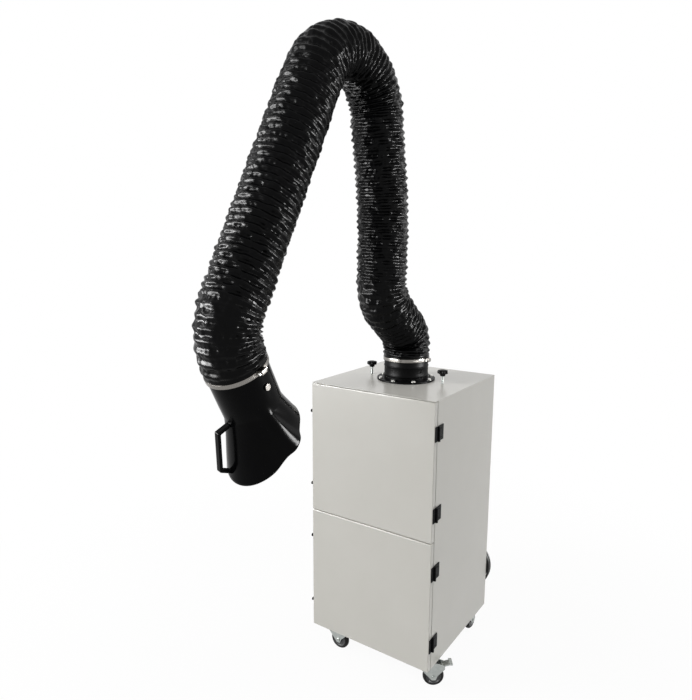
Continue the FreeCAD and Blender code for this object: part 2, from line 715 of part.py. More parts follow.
# Inlet: a bolted ring that holds down the foot of the swivel tube
FOOT_HIGH = f"({TOP} + tube_foot_height + seat_gap)"
RING_HIGH = f"({FOOT_HIGH} + flange_wall)"
ring_body = turned("ring_body", [
    ("tube_foot_radius + seat_gap", TOP),
    ("flange_radius", TOP),
    ("flange_radius", RING_HIGH),
    ("tube_radius + seat_gap", RING_HIGH),
    ("tube_radius + seat_gap", FOOT_HIGH),
    ("tube_foot_radius + seat_gap", FOOT_HIGH),
])
ring_holes = [rod("ring_hole", BOLT_HOLE, f"{RING_HIGH} - {TOP} + 2 * overcut",
                  (*bolt_spot(angle), f"{TOP} - overcut")) for angle in flange_angles]
node("flange_ring", cut("flange_ring", ring_body, ring_holes))

flange_bolts = []
for angle in flange_angles:
    shank = rod("flange_shank", "bolt_radius", f"{RING_HIGH} - {TOP} + 3 * sheet_wall",
                (*bolt_spot(angle), f"{TOP} - 3 * sheet_wall"))
    head = rod("flange_head", "bolt_head_radius", "bolt_head_height", (*bolt_spot(angle), RING_HIGH))
    flange_bolts.append(fuse("flange_bolt", [shank, head]))
node("flange_bolts", group("flange_bolts", flange_bolts))

TUBE_HIGH = f"({TOP} + tube_height)"
node("swivel_tube", turned("swivel_tube", [
    ("tube_radius - tube_wall", TOP),
    ("tube_foot_radius", TOP),
    ("tube_foot_radius", f"{TOP} + tube_foot_height"),
    ("tube_radius", f"{TOP} + tube_foot_height"),
    ("tube_radius", TUBE_HIGH),
    ("tube_radius - tube_wall", TUBE_HIGH),
]))

# Route of the hose: straight runs joined by tangent arcs in the plane x = 0, as (forward, up)
tube_high = value(TUBE_HIGH)
lean = math.radians(value("hood_lean"))
hood_axis = (-math.sin(lean), -math.cos(lean))


def step(spot, forward, up):
    return spot[0] + forward, spot[1] + up


hose_low = (0.0, tube_high - value("hose_overlap"))
base_bend = (0.0, tube_high + value("base_bend_rise"))
shoulder_bend = step(base_bend, value("shoulder_forward"), value("shoulder_rise"))
middle_bend = step(shoulder_bend, value("middle_forward"), value("middle_rise"))
elbow_bend = step(middle_bend, value("elbow_forward"), value("elbow_rise"))
wrist_bend = step(elbow_bend, value("wrist_forward"), -value("wrist_drop"))
hose_end = step(wrist_bend, *(value("hood_cuff_reach") * part for part in hood_axis))
route_points = [hose_low, base_bend, shoulder_bend, middle_bend, elbow_bend, wrist_bend, hose_end]
route_radii = [value(f"{bend}_bend_radius") for bend in ("base", "shoulder", "middle", "elbow", "wrist")]


def heading(start, end):
    return math.atan2(end[1] - start[1], end[0] - start[0])


def rounded_route(points, radii):
    """The runs and arcs of a route: each is (start, its heading, length, turn per length)."""
    pieces = []
    start = points[0]
    for before, bend, after, radius in zip(points, points[1:], points[2:], radii):
        along = heading(before, bend)
        turn = (heading(bend, after) - along + math.pi) % (2 * math.pi) - math.pi
        tangent = radius * math.tan(abs(turn) / 2)
        run = math.dist(start, bend) - tangent
        pieces.append((start, along, run, 0.0))
        arc_start = step(start, run * math.cos(along), run * math.sin(along))
        pieces.append((arc_start, along, radius * abs(turn), math.copysign(1 / radius, turn)))
        after_heading = along + turn
        start = step(bend, tangent * math.cos(after_heading), tangent * math.sin(after_heading))
    along = heading(points[-2], points[-1])
    pieces.append((start, along, math.dist(start, points[-1]), 0.0))
    return pieces


ROUTE = rounded_route(route_points, route_radii)
ROUTE_LENGTH = sum(piece[2] for piece in ROUTE)
# Distances along the route to the middle of each arc
ARC_MIDDLES = [sum(piece[2] for piece in ROUTE[:2 * count + 1]) + ROUTE[2 * count + 1][2] / 2
               for count in range(len(route_radii))]


def on_route(distance):
    """The spot and the heading at a distance along the route, straight on past either end."""
    for start, along, length, curve in ROUTE:
        if distance <= length or (start, along, length, curve) == ROUTE[-1]:
            break
        distance -= length
    if curve == 0:
        return step(start, distance * math.cos(along), distance * math.sin(along)), along
    now = along + distance * curve
    spot = step(start, (math.sin(now) - math.sin(along)) / curve, (math.cos(along) - math.cos(now)) / curve)
    return spot, now


def in_space(spot, x=0.0):
    return Vector(x, -spot[0], spot[1])


def ring_on_route(distance, radius):
    spot, along = on_route(distance)
    axis = Vector(0, -math.cos(along), math.sin(along))
    circle = Part.Circle(in_space(spot), axis, radius)
    circle.XAxis = Vector(1, 0, 0)
    return Part.Wire([circle.toShape()])


def ribbed_hose(start, end, cuff_at_start, cuff_at_end):
    """A stretch of hose: ribs outside, a plain bore inside and a cuff where it is clamped."""
    cuff = value("hose_cuff_length")
    cuff_radius = value("tube_radius + seat_gap + hose_cuff_wall")
    cuff_bore = value("tube_radius + seat_gap")
    valley, rib, bore = (value(f"hose_{part}_radius") for part in ("valley", "rib", "bore"))
    outer, inner = [], []
    low, high = start + cuff * cuff_at_start, end - cuff * cuff_at_end
    count = round((high - low) / value("hose_rib_pitch"))
    pitch = (high - low) / count
    slope, crest = (pitch * value(f"hose_rib_{part}_share") for part in ("slope", "crest"))
    cuff_step = value("hose_cuff_step")
    if cuff_at_start:
        outer += [(start, cuff_radius), (low - cuff_step, cuff_radius)]
        inner += [(start, cuff_bore), (low - cuff_step, cuff_bore)]
    for number in range(count):
        foot = low + number * pitch
        outer += [(foot, valley), (foot + slope, rib), (foot + slope + crest, rib),
                  (foot + 2 * slope + crest, valley)]
        inner.append((foot, bore))
    if cuff_at_end:
        outer += [(high + cuff_step, cuff_radius), (end, cuff_radius)]
        inner += [(high, bore), (high + cuff_step, cuff_bore), (end, cuff_bore)]
    else:
        outer.append((end, valley))
        inner.append((end, bore))
    shells = [Part.makeLoft([ring_on_route(*ring) for ring in rings], True, True) for rings in (outer, inner)]
    return shells[0].cut(shells[1])


LOWER_JOINT = ARC_MIDDLES[2]
UPPER_JOINT = (ARC_MIDDLES[3] + ARC_MIDDLES[4]) / 2
node("hose_shoulder", feature("hose_shoulder", ribbed_hose(0.0, LOWER_JOINT, True, False)))
node("hose_elbow", feature("hose_elbow", ribbed_hose(LOWER_JOINT, UPPER_JOINT, False, False)))
node("hose_wrist", feature("hose_wrist", ribbed_hose(UPPER_JOINT, ROUTE_LENGTH, False, True)))


def hose_clamp(name, distance):
    """A steel band round a hose cuff, with its worm screw on the right-hand side towards the rear."""
    bore = value("tube_radius + 2 * seat_gap + hose_cuff_wall")
    wall, width = value("clamp_band_wall"), value("clamp_band_width")
    spot, along = on_route(distance)
    band = Part.makeCylinder(bore + wall, width).cut(Part.makeCylinder(bore, width))
    radius, length = value("clamp_screw_radius"), value("clamp_screw_length")
    screw_out = bore + wall + radius - value("clamp_screw_sink")
    screw = Part.makeCylinder(radius, length, Vector(screw_out, -length / 2, width / 2), Vector(0, 1, 0))
    shape = band.fuse(screw)
    turn = Rotation(Vector(1, 0, 0), Vector(0, math.sin(along), math.cos(along)),
                    Vector(0, -math.cos(along), math.sin(along)), "ZXY")
    shape.Placement = FreeCAD.Placement(in_space(spot), turn)
    return feature(name, shape)


CLAMP_SET = (value("hose_overlap") - value("clamp_band_width")) / 2
node("base_hose_clamp", hose_clamp("base_hose_clamp", CLAMP_SET))
node("hood_hose_clamp", hose_clamp("hood_hose_clamp", ROUTE_LENGTH - CLAMP_SET - value("clamp_band_width")))


# Arm inside the hose: tubes along its middle line, joined by pinned eyes between cheeks
SHOULDER_AT, ELBOW_AT = ARC_MIDDLES[1], ARC_MIDDLES[3]
WRIST_AT = ROUTE_LENGTH - value("hose_overlap") / 2 + value("wrist_pivot_reach")


def route_wire(start, end):
    """The route between two distances as a wire of lines and arcs."""
    edges, begin = [], 0.0
    for number, (_, _, length, curve) in enumerate(ROUTE):
        low = max(start, begin) if number else start
        high = min(end, begin + length) if number < len(ROUTE) - 1 else end
        if high - low > 1e-6:
            ends = [in_space(on_route(low)[0]), in_space(on_route(high)[0])]
            if curve == 0:
                edges.append(Part.LineSegment(*ends).toShape())
            else:
                middle = in_space(on_route((low + high) / 2)[0])
                edges.append(Part.Arc(ends[0], middle, ends[1]).toShape())
        begin += length
    return Part.Wire(edges)


def arm_tube(start, end):
    radius = value("arm_radius")
    path = route_wire(start, end)
    outer = path.makePipeShell([ring_on_route(start, radius)], True, False)
    return outer.cut(path.makePipeShell([ring_on_route(start, radius - value("arm_wall"))], True, False))


def strap(start, end, radius, low_x, high_x):
    """A flat bar with round ends between two spots, lying across x."""
    along = math.atan2(end[1] - start[1], end[0] - start[0])
    side = (-math.sin(along) * radius, math.cos(along) * radius)
    ahead = (math.cos(along) * radius, math.sin(along) * radius)
    left_start, right_start = step(start, *side), step(start, -side[0], -side[1])
    left_end, right_end = step(end, *side), step(end, -side[0], -side[1])
    tip, tail = step(end, *ahead), step(start, -ahead[0], -ahead[1])
    spots = [in_space(spot, low_x) for spot in (left_start, left_end, tip, right_end, right_start, tail)]
    edges = [
        Part.LineSegment(spots[0], spots[1]).toShape(),
        Part.Arc(spots[1], spots[2], spots[3]).toShape(),
        Part.LineSegment(spots[3], spots[4]).toShape(),
        Part.Arc(spots[4], spots[5], spots[0]).toShape(),
    ]
    return Part.Face(Part.Wire(edges)).extrude(Vector(high_x - low_x, 0, 0))


def cross_rod(spot, radius, low_x, high_x):
    return Part.makeCylinder(radius, high_x - low_x, in_space(spot, low_x), Vector(1, 0, 0))


def cheeks(pivot_at, reach):
    """Two cheeks and the pin of a pivot, on the tube that ends at reach from it."""
    pivot, tube_end = on_route(pivot_at)[0], on_route(pivot_at + reach)[0]
    inner = value("pivot_half_width + seat_gap")
    outer = inner + value("pivot_cheek_wall")
    radius = value("pivot_eye_radius")
    pieces = []
    for low, high in ((-outer, -inner), (inner, outer)):
        pieces.append(strap(tube_end, pivot, radius, low, high))
    bridge_end = on_route(pivot_at + reach * value("pivot_bridge_share"))[0]
    bridge = strap(tube_end, bridge_end, value("arm_radius"), -outer, outer)
    head = outer + value("pivot_head_height")
    heads = []
    for low, high in ((-head, -outer), (outer, head)):
        heads.append(cross_rod(pivot, value("pivot_head_radius"), low, high))
    pin = cross_rod(pivot, value("pivot_pin_radius"), -outer, outer)
    return [*pieces, bridge, *heads, pin]


def eye(pivot_at, reach, pin_radius):
    """The eye of a pivot on the tube that starts at reach from it, with its bore cut."""
    pivot, tube_end = on_route(pivot_at)[0], on_route(pivot_at + reach)[0]
    half = value("pivot_half_width")
    bar = strap(pivot, tube_end, value("pivot_eye_radius"), -half, half)
    return bar.cut(cross_rod(pivot, pin_radius + value("fit_gap"), -half, half))


def joined(pieces):
    return pieces[0].multiFuse(pieces[1:]).removeSplitter()


reach = value("pivot_reach")
foot_width, foot_wall = value("post_foot_width"), value("post_foot_wall")
post_low = value("hose_overlap") - value("post_drop")
foot_level = on_route(post_low)[0][1]
tube_bore = value("tube_radius - tube_wall")
foot_low = foot_level - foot_wall
foot = Part.makeBox(2 * tube_bore, foot_width, foot_wall, Vector(-tube_bore, -foot_width / 2, foot_low))
foot = foot.common(Part.makeCylinder(tube_bore, foot_wall, Vector(0, 0, foot_low)))
post = joined([arm_tube(post_low, SHOULDER_AT - reach), *cheeks(SHOULDER_AT, -reach), foot])
node("shoulder_post", feature("shoulder_post", post))

pin_radius = value("pivot_pin_radius")
lower_arm = joined([eye(SHOULDER_AT, reach, pin_radius), arm_tube(SHOULDER_AT + reach, ELBOW_AT - reach),
                    *cheeks(ELBOW_AT, -reach)])
node("lower_arm", feature("lower_arm", lower_arm))
upper_arm = joined([eye(ELBOW_AT, reach, pin_radius), arm_tube(ELBOW_AT + reach, WRIST_AT - reach),
                    eye(WRIST_AT, -reach, value("wrist_bolt_radius"))])
node("upper_arm", feature("upper_arm", upper_arm))

# Hood: a round neck that the hose is clamped on, flaring to an oblique mouth
NECK_AT = ROUTE_LENGTH - value("neck_insert")
WAIST_AT = NECK_AT + value("neck_length")
waist, hood_heading = on_route(WAIST_AT)
tilt = math.radians(value("mouth_tilt"))
mouth_forward = value("mouth_forward")
mouth_middle = step(on_route(WAIST_AT + value("mouth_reach"))[0],
                    mouth_forward * math.cos(tilt), -mouth_forward * math.sin(tilt))
mouth_along = Vector(0, -math.cos(tilt), -math.sin(tilt))


def mouth_ring(shrink):
    """The mouth's ellipse, smaller by shrink."""
    half_length, half_width = value("mouth_half_length") - shrink, value("mouth_half_width") - shrink
    middle = in_space(mouth_middle)
    ellipse = Part.Ellipse(middle + mouth_along * half_length, middle + Vector(half_width, 0, 0), middle)
    return Part.Wire([ellipse.toShape()])


hood_axis = Vector(0, -math.cos(hood_heading), math.sin(hood_heading))


def waist_ring(radius):
    circle = Part.Circle(in_space(waist), hood_axis, radius)
    circle.XAxis = mouth_along - circle.Axis * mouth_along.dot(circle.Axis)
    return Part.Wire([circle.toShape()])


tube_radius, hood_wall = value("tube_radius"), value("hood_wall")
neck_path = route_wire(NECK_AT, WAIST_AT)
neck = neck_path.makePipeShell([ring_on_route(NECK_AT, tube_radius)], True, False)
neck_bore = neck_path.makePipeShell([ring_on_route(NECK_AT, tube_radius - hood_wall)], True, False)
flare = Part.makeLoft([waist_ring(tube_radius), mouth_ring(0)], True, True)
flare_bore = Part.makeLoft([waist_ring(tube_radius - hood_wall), mouth_ring(hood_wall)], True, True)
wrist = on_route(WRIST_AT)[0]
bolt_hole = cross_rod(wrist, value("wrist_bolt_radius + hole_gap"), -2 * tube_radius, 2 * tube_radius)
hood_shell = neck.fuse(flare).cut(neck_bore.fuse(flare_bore)).cut(bolt_hole)
node("hood_shell", feature("hood_shell", hood_shell))

bolt_radius, spacer_radius = value("wrist_bolt_radius"), value("wrist_head_radius")
spacer_in = value("pivot_half_width + seat_gap")
spacer_out = math.sqrt((tube_radius - hood_wall) ** 2 - spacer_radius ** 2) - value("seat_gap")
head_in = tube_radius + value("seat_gap")
head_out = head_in + value("wrist_head_height")
bolt_pieces = [cross_rod(wrist, bolt_radius, -head_out, head_out)]
for low, high in ((spacer_in, spacer_out), (head_in, head_out)):
    bolt_pieces.append(cross_rod(wrist, spacer_radius, low, high))
    bolt_pieces.append(cross_rod(wrist, spacer_radius, -high, -low))
node("wrist_bolt", feature("wrist_bolt", joined(bolt_pieces)))

# Grab handle along the flare, turned about the hood's axis from its front, with legs trimmed to the wall
waist_front = step(waist, -tube_radius * math.sin(hood_heading), tube_radius * math.cos(hood_heading))
half_length = value("mouth_half_length")
mouth_front = step(mouth_middle, half_length * math.cos(tilt), -half_length * math.sin(tilt))
wall_heading = heading(waist_front, mouth_front)
wall_out = (-math.sin(wall_heading), math.cos(wall_heading))


def beside_wall(along, out):
    ahead = step(waist_front, along * math.cos(wall_heading), along * math.sin(wall_heading))
    return step(ahead, out * wall_out[0], out * wall_out[1])


setback, stand_off = value("handle_setback"), value("handle_stand_off")
handle_end = setback + value("handle_length")
slant, leg_sink = value("handle_wall") * 2, value("handle_leg_sink")
handle_spots = [beside_wall(setback, -leg_sink), beside_wall(setback + slant, stand_off),
                beside_wall(handle_end - slant, stand_off), beside_wall(handle_end, -leg_sink)]
half_width, half_wall = value("handle_width") / 2, value("handle_wall") / 2
handle_bars = []
for spot, following in zip(handle_spots, handle_spots[1:]):
    handle_bars.append(strap(spot, following, half_wall, -half_width, half_width))
handle = joined(handle_bars)
handle.rotate(in_space(waist), hood_axis, value("handle_turn"))
node("hood_handle", feature("hood_handle", handle.cut(neck.fuse(flare))))

# Castors: a plate with its kingpin under the base pan, a trailing fork with its axle, and a wheel
PLATE_LOW = "(caster_height - caster_plate_wall)"
RACE_LOW = f"({PLATE_LOW} - race_height)"
CROWN_HIGH = f"({RACE_LOW} - seat_gap)"
CROWN_LOW = f"({CROWN_HIGH} - crown_wall)"
CHEEK_IN = "(wheel_hub_width / 2 + seat_gap)"
CHEEK_OUT = f"({CHEEK_IN} + fork_wall)"
CORNERS = {
    "front_left": (-1, -1),
    "front_right": (1, -1),
    "rear_left": (-1, 1),
    "rear_right": (1, 1),
}


def caster_spot(corner):
    across, along = CORNERS[corner]
    return (f"{across} * ({SIDE} - caster_inset_x)", f"{along} * ({REAR} - caster_inset_y)")


def turn_to_heading(piece, corner):
    """Turn a castor piece, built trailing towards +X, to its corner's heading and place it."""
    piece.Placement.Rotation = Rotation(Vector(0, 0, 1), 1)
    piece.setExpression("Placement.Rotation.Angle", expression(f"heading_{corner}"))
    return place(piece, (*caster_spot(corner), "0"))


plates = []
for corner in CORNERS:
    x, y = caster_spot(corner)
    plates.append(fuse(f"{corner}_caster_plate", [
        box("caster_plate", ("caster_plate_length", "caster_plate_width", "caster_plate_wall"),
            (f"{x} - caster_plate_length / 2", f"{y} - caster_plate_width / 2", PLATE_LOW)),
        rod("caster_race", "race_radius", "race_height", (x, y, RACE_LOW)),
        rod("kingpin", "kingpin_radius", f"{RACE_LOW} - {CROWN_LOW} + kingpin_head_height",
            (x, y, f"{CROWN_LOW} - kingpin_head_height")),
        rod("kingpin_head", "kingpin_head_radius", "kingpin_head_height - seat_gap",
            (x, y, f"{CROWN_LOW} - kingpin_head_height")),
    ]))
node("caster_plates", group("caster_plates", plates))

FORK_BACK = "(-race_radius)"
FORK_AHEAD = "(race_radius + crown_lip)"
PEDAL_SPAN = "(wheel_radius + pedal_eye_radius + pedal_wheel_gap)"
PEDAL_X = f"(caster_trail + {PEDAL_SPAN} * cos(pedal_angle))"
PEDAL_Z = f"(wheel_radius + {PEDAL_SPAN} * sin(pedal_angle))"
CHEEK_AHEAD = f"({PEDAL_X} + pedal_eye_radius + fork_edge)"
CHEEK_FOOT = "(wheel_radius - axle_head_radius - fork_edge)"
RIM_FACE = "(wheel_width / 2 - rim_recess)"
for corner in CORNERS:
    crown = box(f"{corner}_crown", (f"{FORK_AHEAD} - {FORK_BACK}", f"2 * {CHEEK_OUT}", "crown_wall"),
                (FORK_BACK, f"-{CHEEK_OUT}", CROWN_LOW))
    pieces = [crown]
    for side, start in (("left", CHEEK_IN), ("right", f"-{CHEEK_OUT}")):
        pieces.append(padded(f"{corner}_{side}_cheek", "XZ_Plane", [
            (FORK_BACK, CROWN_HIGH),
            (FORK_AHEAD, CROWN_HIGH),
            (CHEEK_AHEAD, f"{PEDAL_Z} + pedal_eye_radius"),
            (CHEEK_AHEAD, f"{PEDAL_Z} - pedal_eye_radius"),
            ("caster_trail + 2 * axle_head_radius", "wheel_radius + axle_head_radius"),
            ("caster_trail + axle_head_radius", CHEEK_FOOT),
            ("caster_trail - axle_head_radius", CHEEK_FOOT),
            (FORK_BACK, f"{CROWN_LOW} - fork_back_drop"),
        ], "fork_wall", start))
    pieces.append(rod(f"{corner}_axle", "axle_radius", f"2 * {CHEEK_OUT}",
                      ("caster_trail", f"-{CHEEK_OUT}", "wheel_radius"), "y"))
    for start in (CHEEK_OUT, f"-{CHEEK_OUT} - axle_head_height"):
        pieces.append(rod(f"{corner}_axle_head", "axle_head_radius", "axle_head_height",
                          ("caster_trail", start, "wheel_radius"), "y"))
    if corner.startswith("front"):
        pieces.append(rod(f"{corner}_pedal_pin", "pedal_pin_radius", f"2 * {CHEEK_OUT}",
                          (PEDAL_X, f"-{CHEEK_OUT}", PEDAL_Z), "y"))
    king_hole = rod(f"{corner}_king_hole", "kingpin_radius + fit_gap", "3 * crown_wall",
                    ("0", "0", f"{CROWN_LOW} - crown_wall"))
    fork = cut(f"{corner}_fork", fuse(f"{corner}_fork_solid", pieces), [king_hole])
    node(f"{corner}_fork", turn_to_heading(fork, corner))

    wheel = turned(f"{corner}_wheel_turned", [
        ("axle_radius + fit_gap", "-wheel_hub_width / 2"),
        ("wheel_hub_radius", "-wheel_hub_width / 2"),
        ("wheel_hub_radius", f"-{RIM_FACE}"),
        ("wheel_radius - 2 * tyre_round", f"-{RIM_FACE}"),
        ("wheel_radius - 2 * tyre_round", "-wheel_width / 2"),
        ("wheel_radius - tyre_round", "-wheel_width / 2"),
        ("wheel_radius", "tyre_round - wheel_width / 2"),
        ("wheel_radius", "wheel_width / 2 - tyre_round"),
        ("wheel_radius - tyre_round", "wheel_width / 2"),
        ("wheel_radius - 2 * tyre_round", "wheel_width / 2"),
        ("wheel_radius - 2 * tyre_round", RIM_FACE),
        ("wheel_hub_radius", RIM_FACE),
        ("wheel_hub_radius", "wheel_hub_width / 2"),
        ("axle_radius + fit_gap", "wheel_hub_width / 2"),
    ])
    wheel.Placement.Rotation = TURNS["y"]
    place(wheel, ("caster_trail", "0", "wheel_radius"))
    node(f"{corner}_wheel", turn_to_heading(group(f"{corner}_wheel", [wheel]), corner))

    if corner.startswith("front"):
        pedal_eye = rod(f"{corner}_pedal_eye", "pedal_eye_radius", "wheel_hub_width",
                        (PEDAL_X, "-wheel_hub_width / 2", PEDAL_Z), "y")
        pedal_arm = padded(f"{corner}_pedal_arm", "XZ_Plane", [
            (PEDAL_X, PEDAL_Z),
            (f"{PEDAL_X} + pedal_length", f"{PEDAL_Z} + pedal_rise"),
            (f"{PEDAL_X} + pedal_length", f"{PEDAL_Z} + pedal_rise + pedal_wall"),
            (PEDAL_X, f"{PEDAL_Z} + pedal_wall"),
        ], "wheel_hub_width", "-wheel_hub_width / 2")
        pedal_foot = box(f"{corner}_pedal_foot", ("pedal_length / 3", "pedal_width", "pedal_wall"),
                         (f"{PEDAL_X} + pedal_length * 2 / 3", "-pedal_width / 2", f"{PEDAL_Z} + pedal_rise"))
        pedal_bore = rod(f"{corner}_pedal_bore", "pedal_pin_radius + fit_gap",
                         "wheel_hub_width + 2 * overcut",
                         (PEDAL_X, "-wheel_hub_width / 2 - overcut", PEDAL_Z), "y")
        pedal_solid = fuse(f"{corner}_pedal_solid", [pedal_eye, pedal_arm, pedal_foot])
        pedal = cut(f"{corner}_brake_pedal", pedal_solid, [pedal_bore])
        node(f"{corner}_brake_pedal", turn_to_heading(pedal, corner))

# Switch box on the rear panel, with a rocker in its face and the cord's gland under it
CORD_X = "(coil_centre_x - coil_radius)"
CORD_Y = f"({REAR} + cord_stand_off)"
BOX_LOW = "switch_box_bottom"
BOX_FACE = f"({REAR} + switch_box_depth)"
switch_block = box("switch_block", ("switch_box_width", "switch_box_depth", "switch_box_height"),
                   (f"{CORD_X} - switch_box_width / 2", REAR, BOX_LOW))
switch_hollow = box("switch_hollow", ("switch_box_width - 2 * switch_box_wall",
                                      "switch_box_depth - switch_box_wall",
                                      "switch_box_height - 2 * switch_box_wall"),
                    (f"{CORD_X} - switch_box_width / 2 + switch_box_wall", REAR,
                     f"{BOX_LOW} + switch_box_wall"))
ROCKER_Z = f"({BOX_LOW} + switch_box_height / 2)"
ROCKER_Y = f"({BOX_FACE} - rocker_depth / 4)"
rocker_window = box("rocker_window", ("rocker_width + 2 * seat_gap", "3 * switch_box_wall",
                                      "rocker_height + 2 * rocker_play"),
                    (f"{CORD_X} - rocker_width / 2 - seat_gap", f"{BOX_FACE} - 2 * switch_box_wall",
                     f"{ROCKER_Z} - rocker_height / 2 - rocker_play"))
gland_hole = rod("gland_hole", "cord_radius + seat_gap", "3 * switch_box_wall",
                 (CORD_X, CORD_Y, f"{BOX_LOW} - switch_box_wall"))
switch_shell = cut("switch_shell", switch_block, [switch_hollow, rocker_window, gland_hole])
rocker_pin = rod("rocker_pin", "rocker_pin_radius",
                 "rocker_width + 4 * seat_gap + 2 * rocker_pin_sink",
                 (f"{CORD_X} - rocker_width / 2 - 2 * seat_gap - rocker_pin_sink", ROCKER_Y, ROCKER_Z), "x")
node("switch_box", fuse("switch_box", [switch_shell, rocker_pin]))

rocker_block = box("rocker_block", ("rocker_width", "rocker_depth", "rocker_height"),
                   ("-rocker_width / 2", "-rocker_depth / 2", "-rocker_height / 2"))
rocker_bore = rod("rocker_bore", "rocker_pin_radius + fit_gap", "rocker_width + 2 * overcut",
                  ("-rocker_width / 2 - overcut", "0", "0"), "x")
rocker = cut("power_rocker", rocker_block, [rocker_bore])
rocker.Placement.Rotation = Rotation(Vector(1, 0, 0), 1)
rocker.setExpression("Placement.Rotation.Angle", expression("rocker_tilt"))
node("power_rocker", place(rocker, (CORD_X, ROCKER_Y, ROCKER_Z)))

gland = turned("cable_gland", [
    ("cord_radius + seat_gap", "0"),
    ("gland_radius", "0"),
    ("gland_radius", "-gland_length / 2"),
    ("gland_radius - gland_step", "-gland_length / 2"),
    ("cord_radius + gland_tip_wall", "-gland_length"),
    ("cord_radius + seat_gap", "-gland_length"),
])
node("cable_gland", place(gland, (CORD_X, CORD_Y, BOX_LOW)))

# Power cord: straight down from the gland, round the coil on its hook and down again to the plug
cord_y = value(CORD_Y)
cord_radius = value("cord_radius")
coil_middle = Vector(value("coil_centre_x"), 0, value("coil_centre_z"))
COIL_END = "(coil_centre_z + 2 * cord_radius)"
node("cord_upper_tail", rod("cord_upper_tail", "cord_radius", f"switch_box_bottom - {COIL_END}",
                            (CORD_X, CORD_Y, COIL_END)))

# The coil spirals in at a steady rate, climbs a layer in the half turn where it reverses, and spirals out
coil_total = 2 * math.pi * value("coil_turns")
coil_pitch = value("coil_pitch")


def coil_spot(angle):
    """A point of the coil's middle line, angle in radians from its start at the left, going down."""
    wound = min(angle, coil_total - angle) / (2 * math.pi)
    radius = value("coil_radius") - coil_pitch * wound
    share = min(max((angle - coil_total / 2) / math.pi + 0.5, 0.0), 1.0)
    layer = share * share * (3 - 2 * share)
    turn = math.pi + angle
    return coil_middle + Vector(radius * math.cos(turn), cord_y + layer * coil_pitch, radius * math.sin(turn))


def coil_heading(angle):
    """The unit tangent, straight down at both ends of the coil."""
    if angle < 1e-9 or angle > coil_total - 1e-9:
        return Vector(0, 0, -1)
    return (coil_spot(angle + 1e-4) - coil_spot(angle - 1e-4)).normalize()


def arc_from(start, along, end):
    """The arc that leaves start along a heading and ends at end."""
    chord = end - start
    unit = Vector(chord).normalize()
    half_turn = along.getAngle(unit)
    if half_turn < 1e-7:
        return Part.LineSegment(start, end).toShape()
    outward = (along - unit * along.dot(unit)).normalize()
    middle = start + chord * 0.5 + outward * (chord.Length / 2 * math.tan(half_turn / 2))
    return Part.Arc(start, middle, end).toShape()


def biarc(start, along, end, arriving):
    """Two tangent arcs from one spot and heading to another."""
    chord = end - start
    both = along + arriving
    square = 2 * (1 - along.dot(arriving))
    if square < 1e-9:
        reach = chord.dot(chord) / (4 * chord.dot(arriving))
    else:
        part = chord.dot(both)
        reach = (math.sqrt(part * part + square * chord.dot(chord)) - part) / square
    meeting = (start + along * reach + end - arriving * reach) * 0.5
    first = arc_from(start, along, meeting)
    second = arc_from(end, arriving * -1, meeting)
    return [first, second]


quarters = round(coil_total / (math.pi / 2))
coil_angles = [coil_total * count / quarters for count in range(quarters + 1)]
coil_low, coil_high = coil_spot(0.0), coil_spot(coil_total)
coil_top = coil_low + Vector(0, 0, 2 * cord_radius)
coil_tip = coil_high - Vector(0, 0, 2 * cord_radius)
coil_edges = [Part.LineSegment(coil_top, coil_low).toShape()]
for before, after in zip(coil_angles, coil_angles[1:]):
    coil_edges += biarc(coil_spot(before), coil_heading(before), coil_spot(after), coil_heading(after))
coil_edges.append(Part.LineSegment(coil_high, coil_tip).toShape())
coil_wire = Part.Wire(Part.__sortEdges__(coil_edges))
coil_section = Part.Wire([Part.Circle(coil_top, Vector(0, 0, -1), cord_radius).toShape()])
coil_solid = coil_wire.makePipeShell([coil_section], True, False)
node("cord_coil", feature("cord_coil", coil_solid))
COIL_SAMPLES = 720
sample_angles = [coil_total * count / COIL_SAMPLES for count in range(COIL_SAMPLES + 1)]
samples = [(angle, coil_spot(angle)) for angle in sample_angles]
least_gap = min(a.distanceToPoint(b) for angle, a in samples for other, b in samples
                if other - angle > math.pi)
print("coil's least gap to itself, mm:", round(least_gap - 2 * cord_radius, 2))
print("coil's length, mm:", round(coil_wire.Length, 1), "volume over section times length:",
      round(coil_solid.Volume / (math.pi * cord_radius ** 2 * coil_wire.Length), 4))

TAIL_Y = f"({CORD_Y} + coil_pitch)"
TAIL_HIGH = "(coil_centre_z - 2 * cord_radius)"
node("cord_lower_tail", rod("cord_lower_tail", "cord_radius", "lower_tail_length",
                            (CORD_X, TAIL_Y, f"{TAIL_HIGH} - lower_tail_length")))
PLUG_HIGH = f"({TAIL_HIGH} - lower_tail_length)"
plug_body = turned("plug_body", [
    ("0", PLUG_HIGH),
    ("cord_radius + plug_neck_wall", PLUG_HIGH),
    ("plug_radius", f"{PLUG_HIGH} - plug_length / 2"),
    ("plug_radius", f"{PLUG_HIGH} - plug_length"),
    ("0", f"{PLUG_HIGH} - plug_length"),
])
plug_pins = [rod("plug_pin", "plug_pin_radius", "plug_pin_length + plug_pin_sink",
                 (f"{side} * plug_pin_spacing / 2", "0", f"{PLUG_HIGH} - plug_length - plug_pin_length"))
             for side in (-1, 1)]
plug = fuse("power_plug", [plug_body, *plug_pins])
node("power_plug", place(plug, (CORD_X, TAIL_Y, "0")))

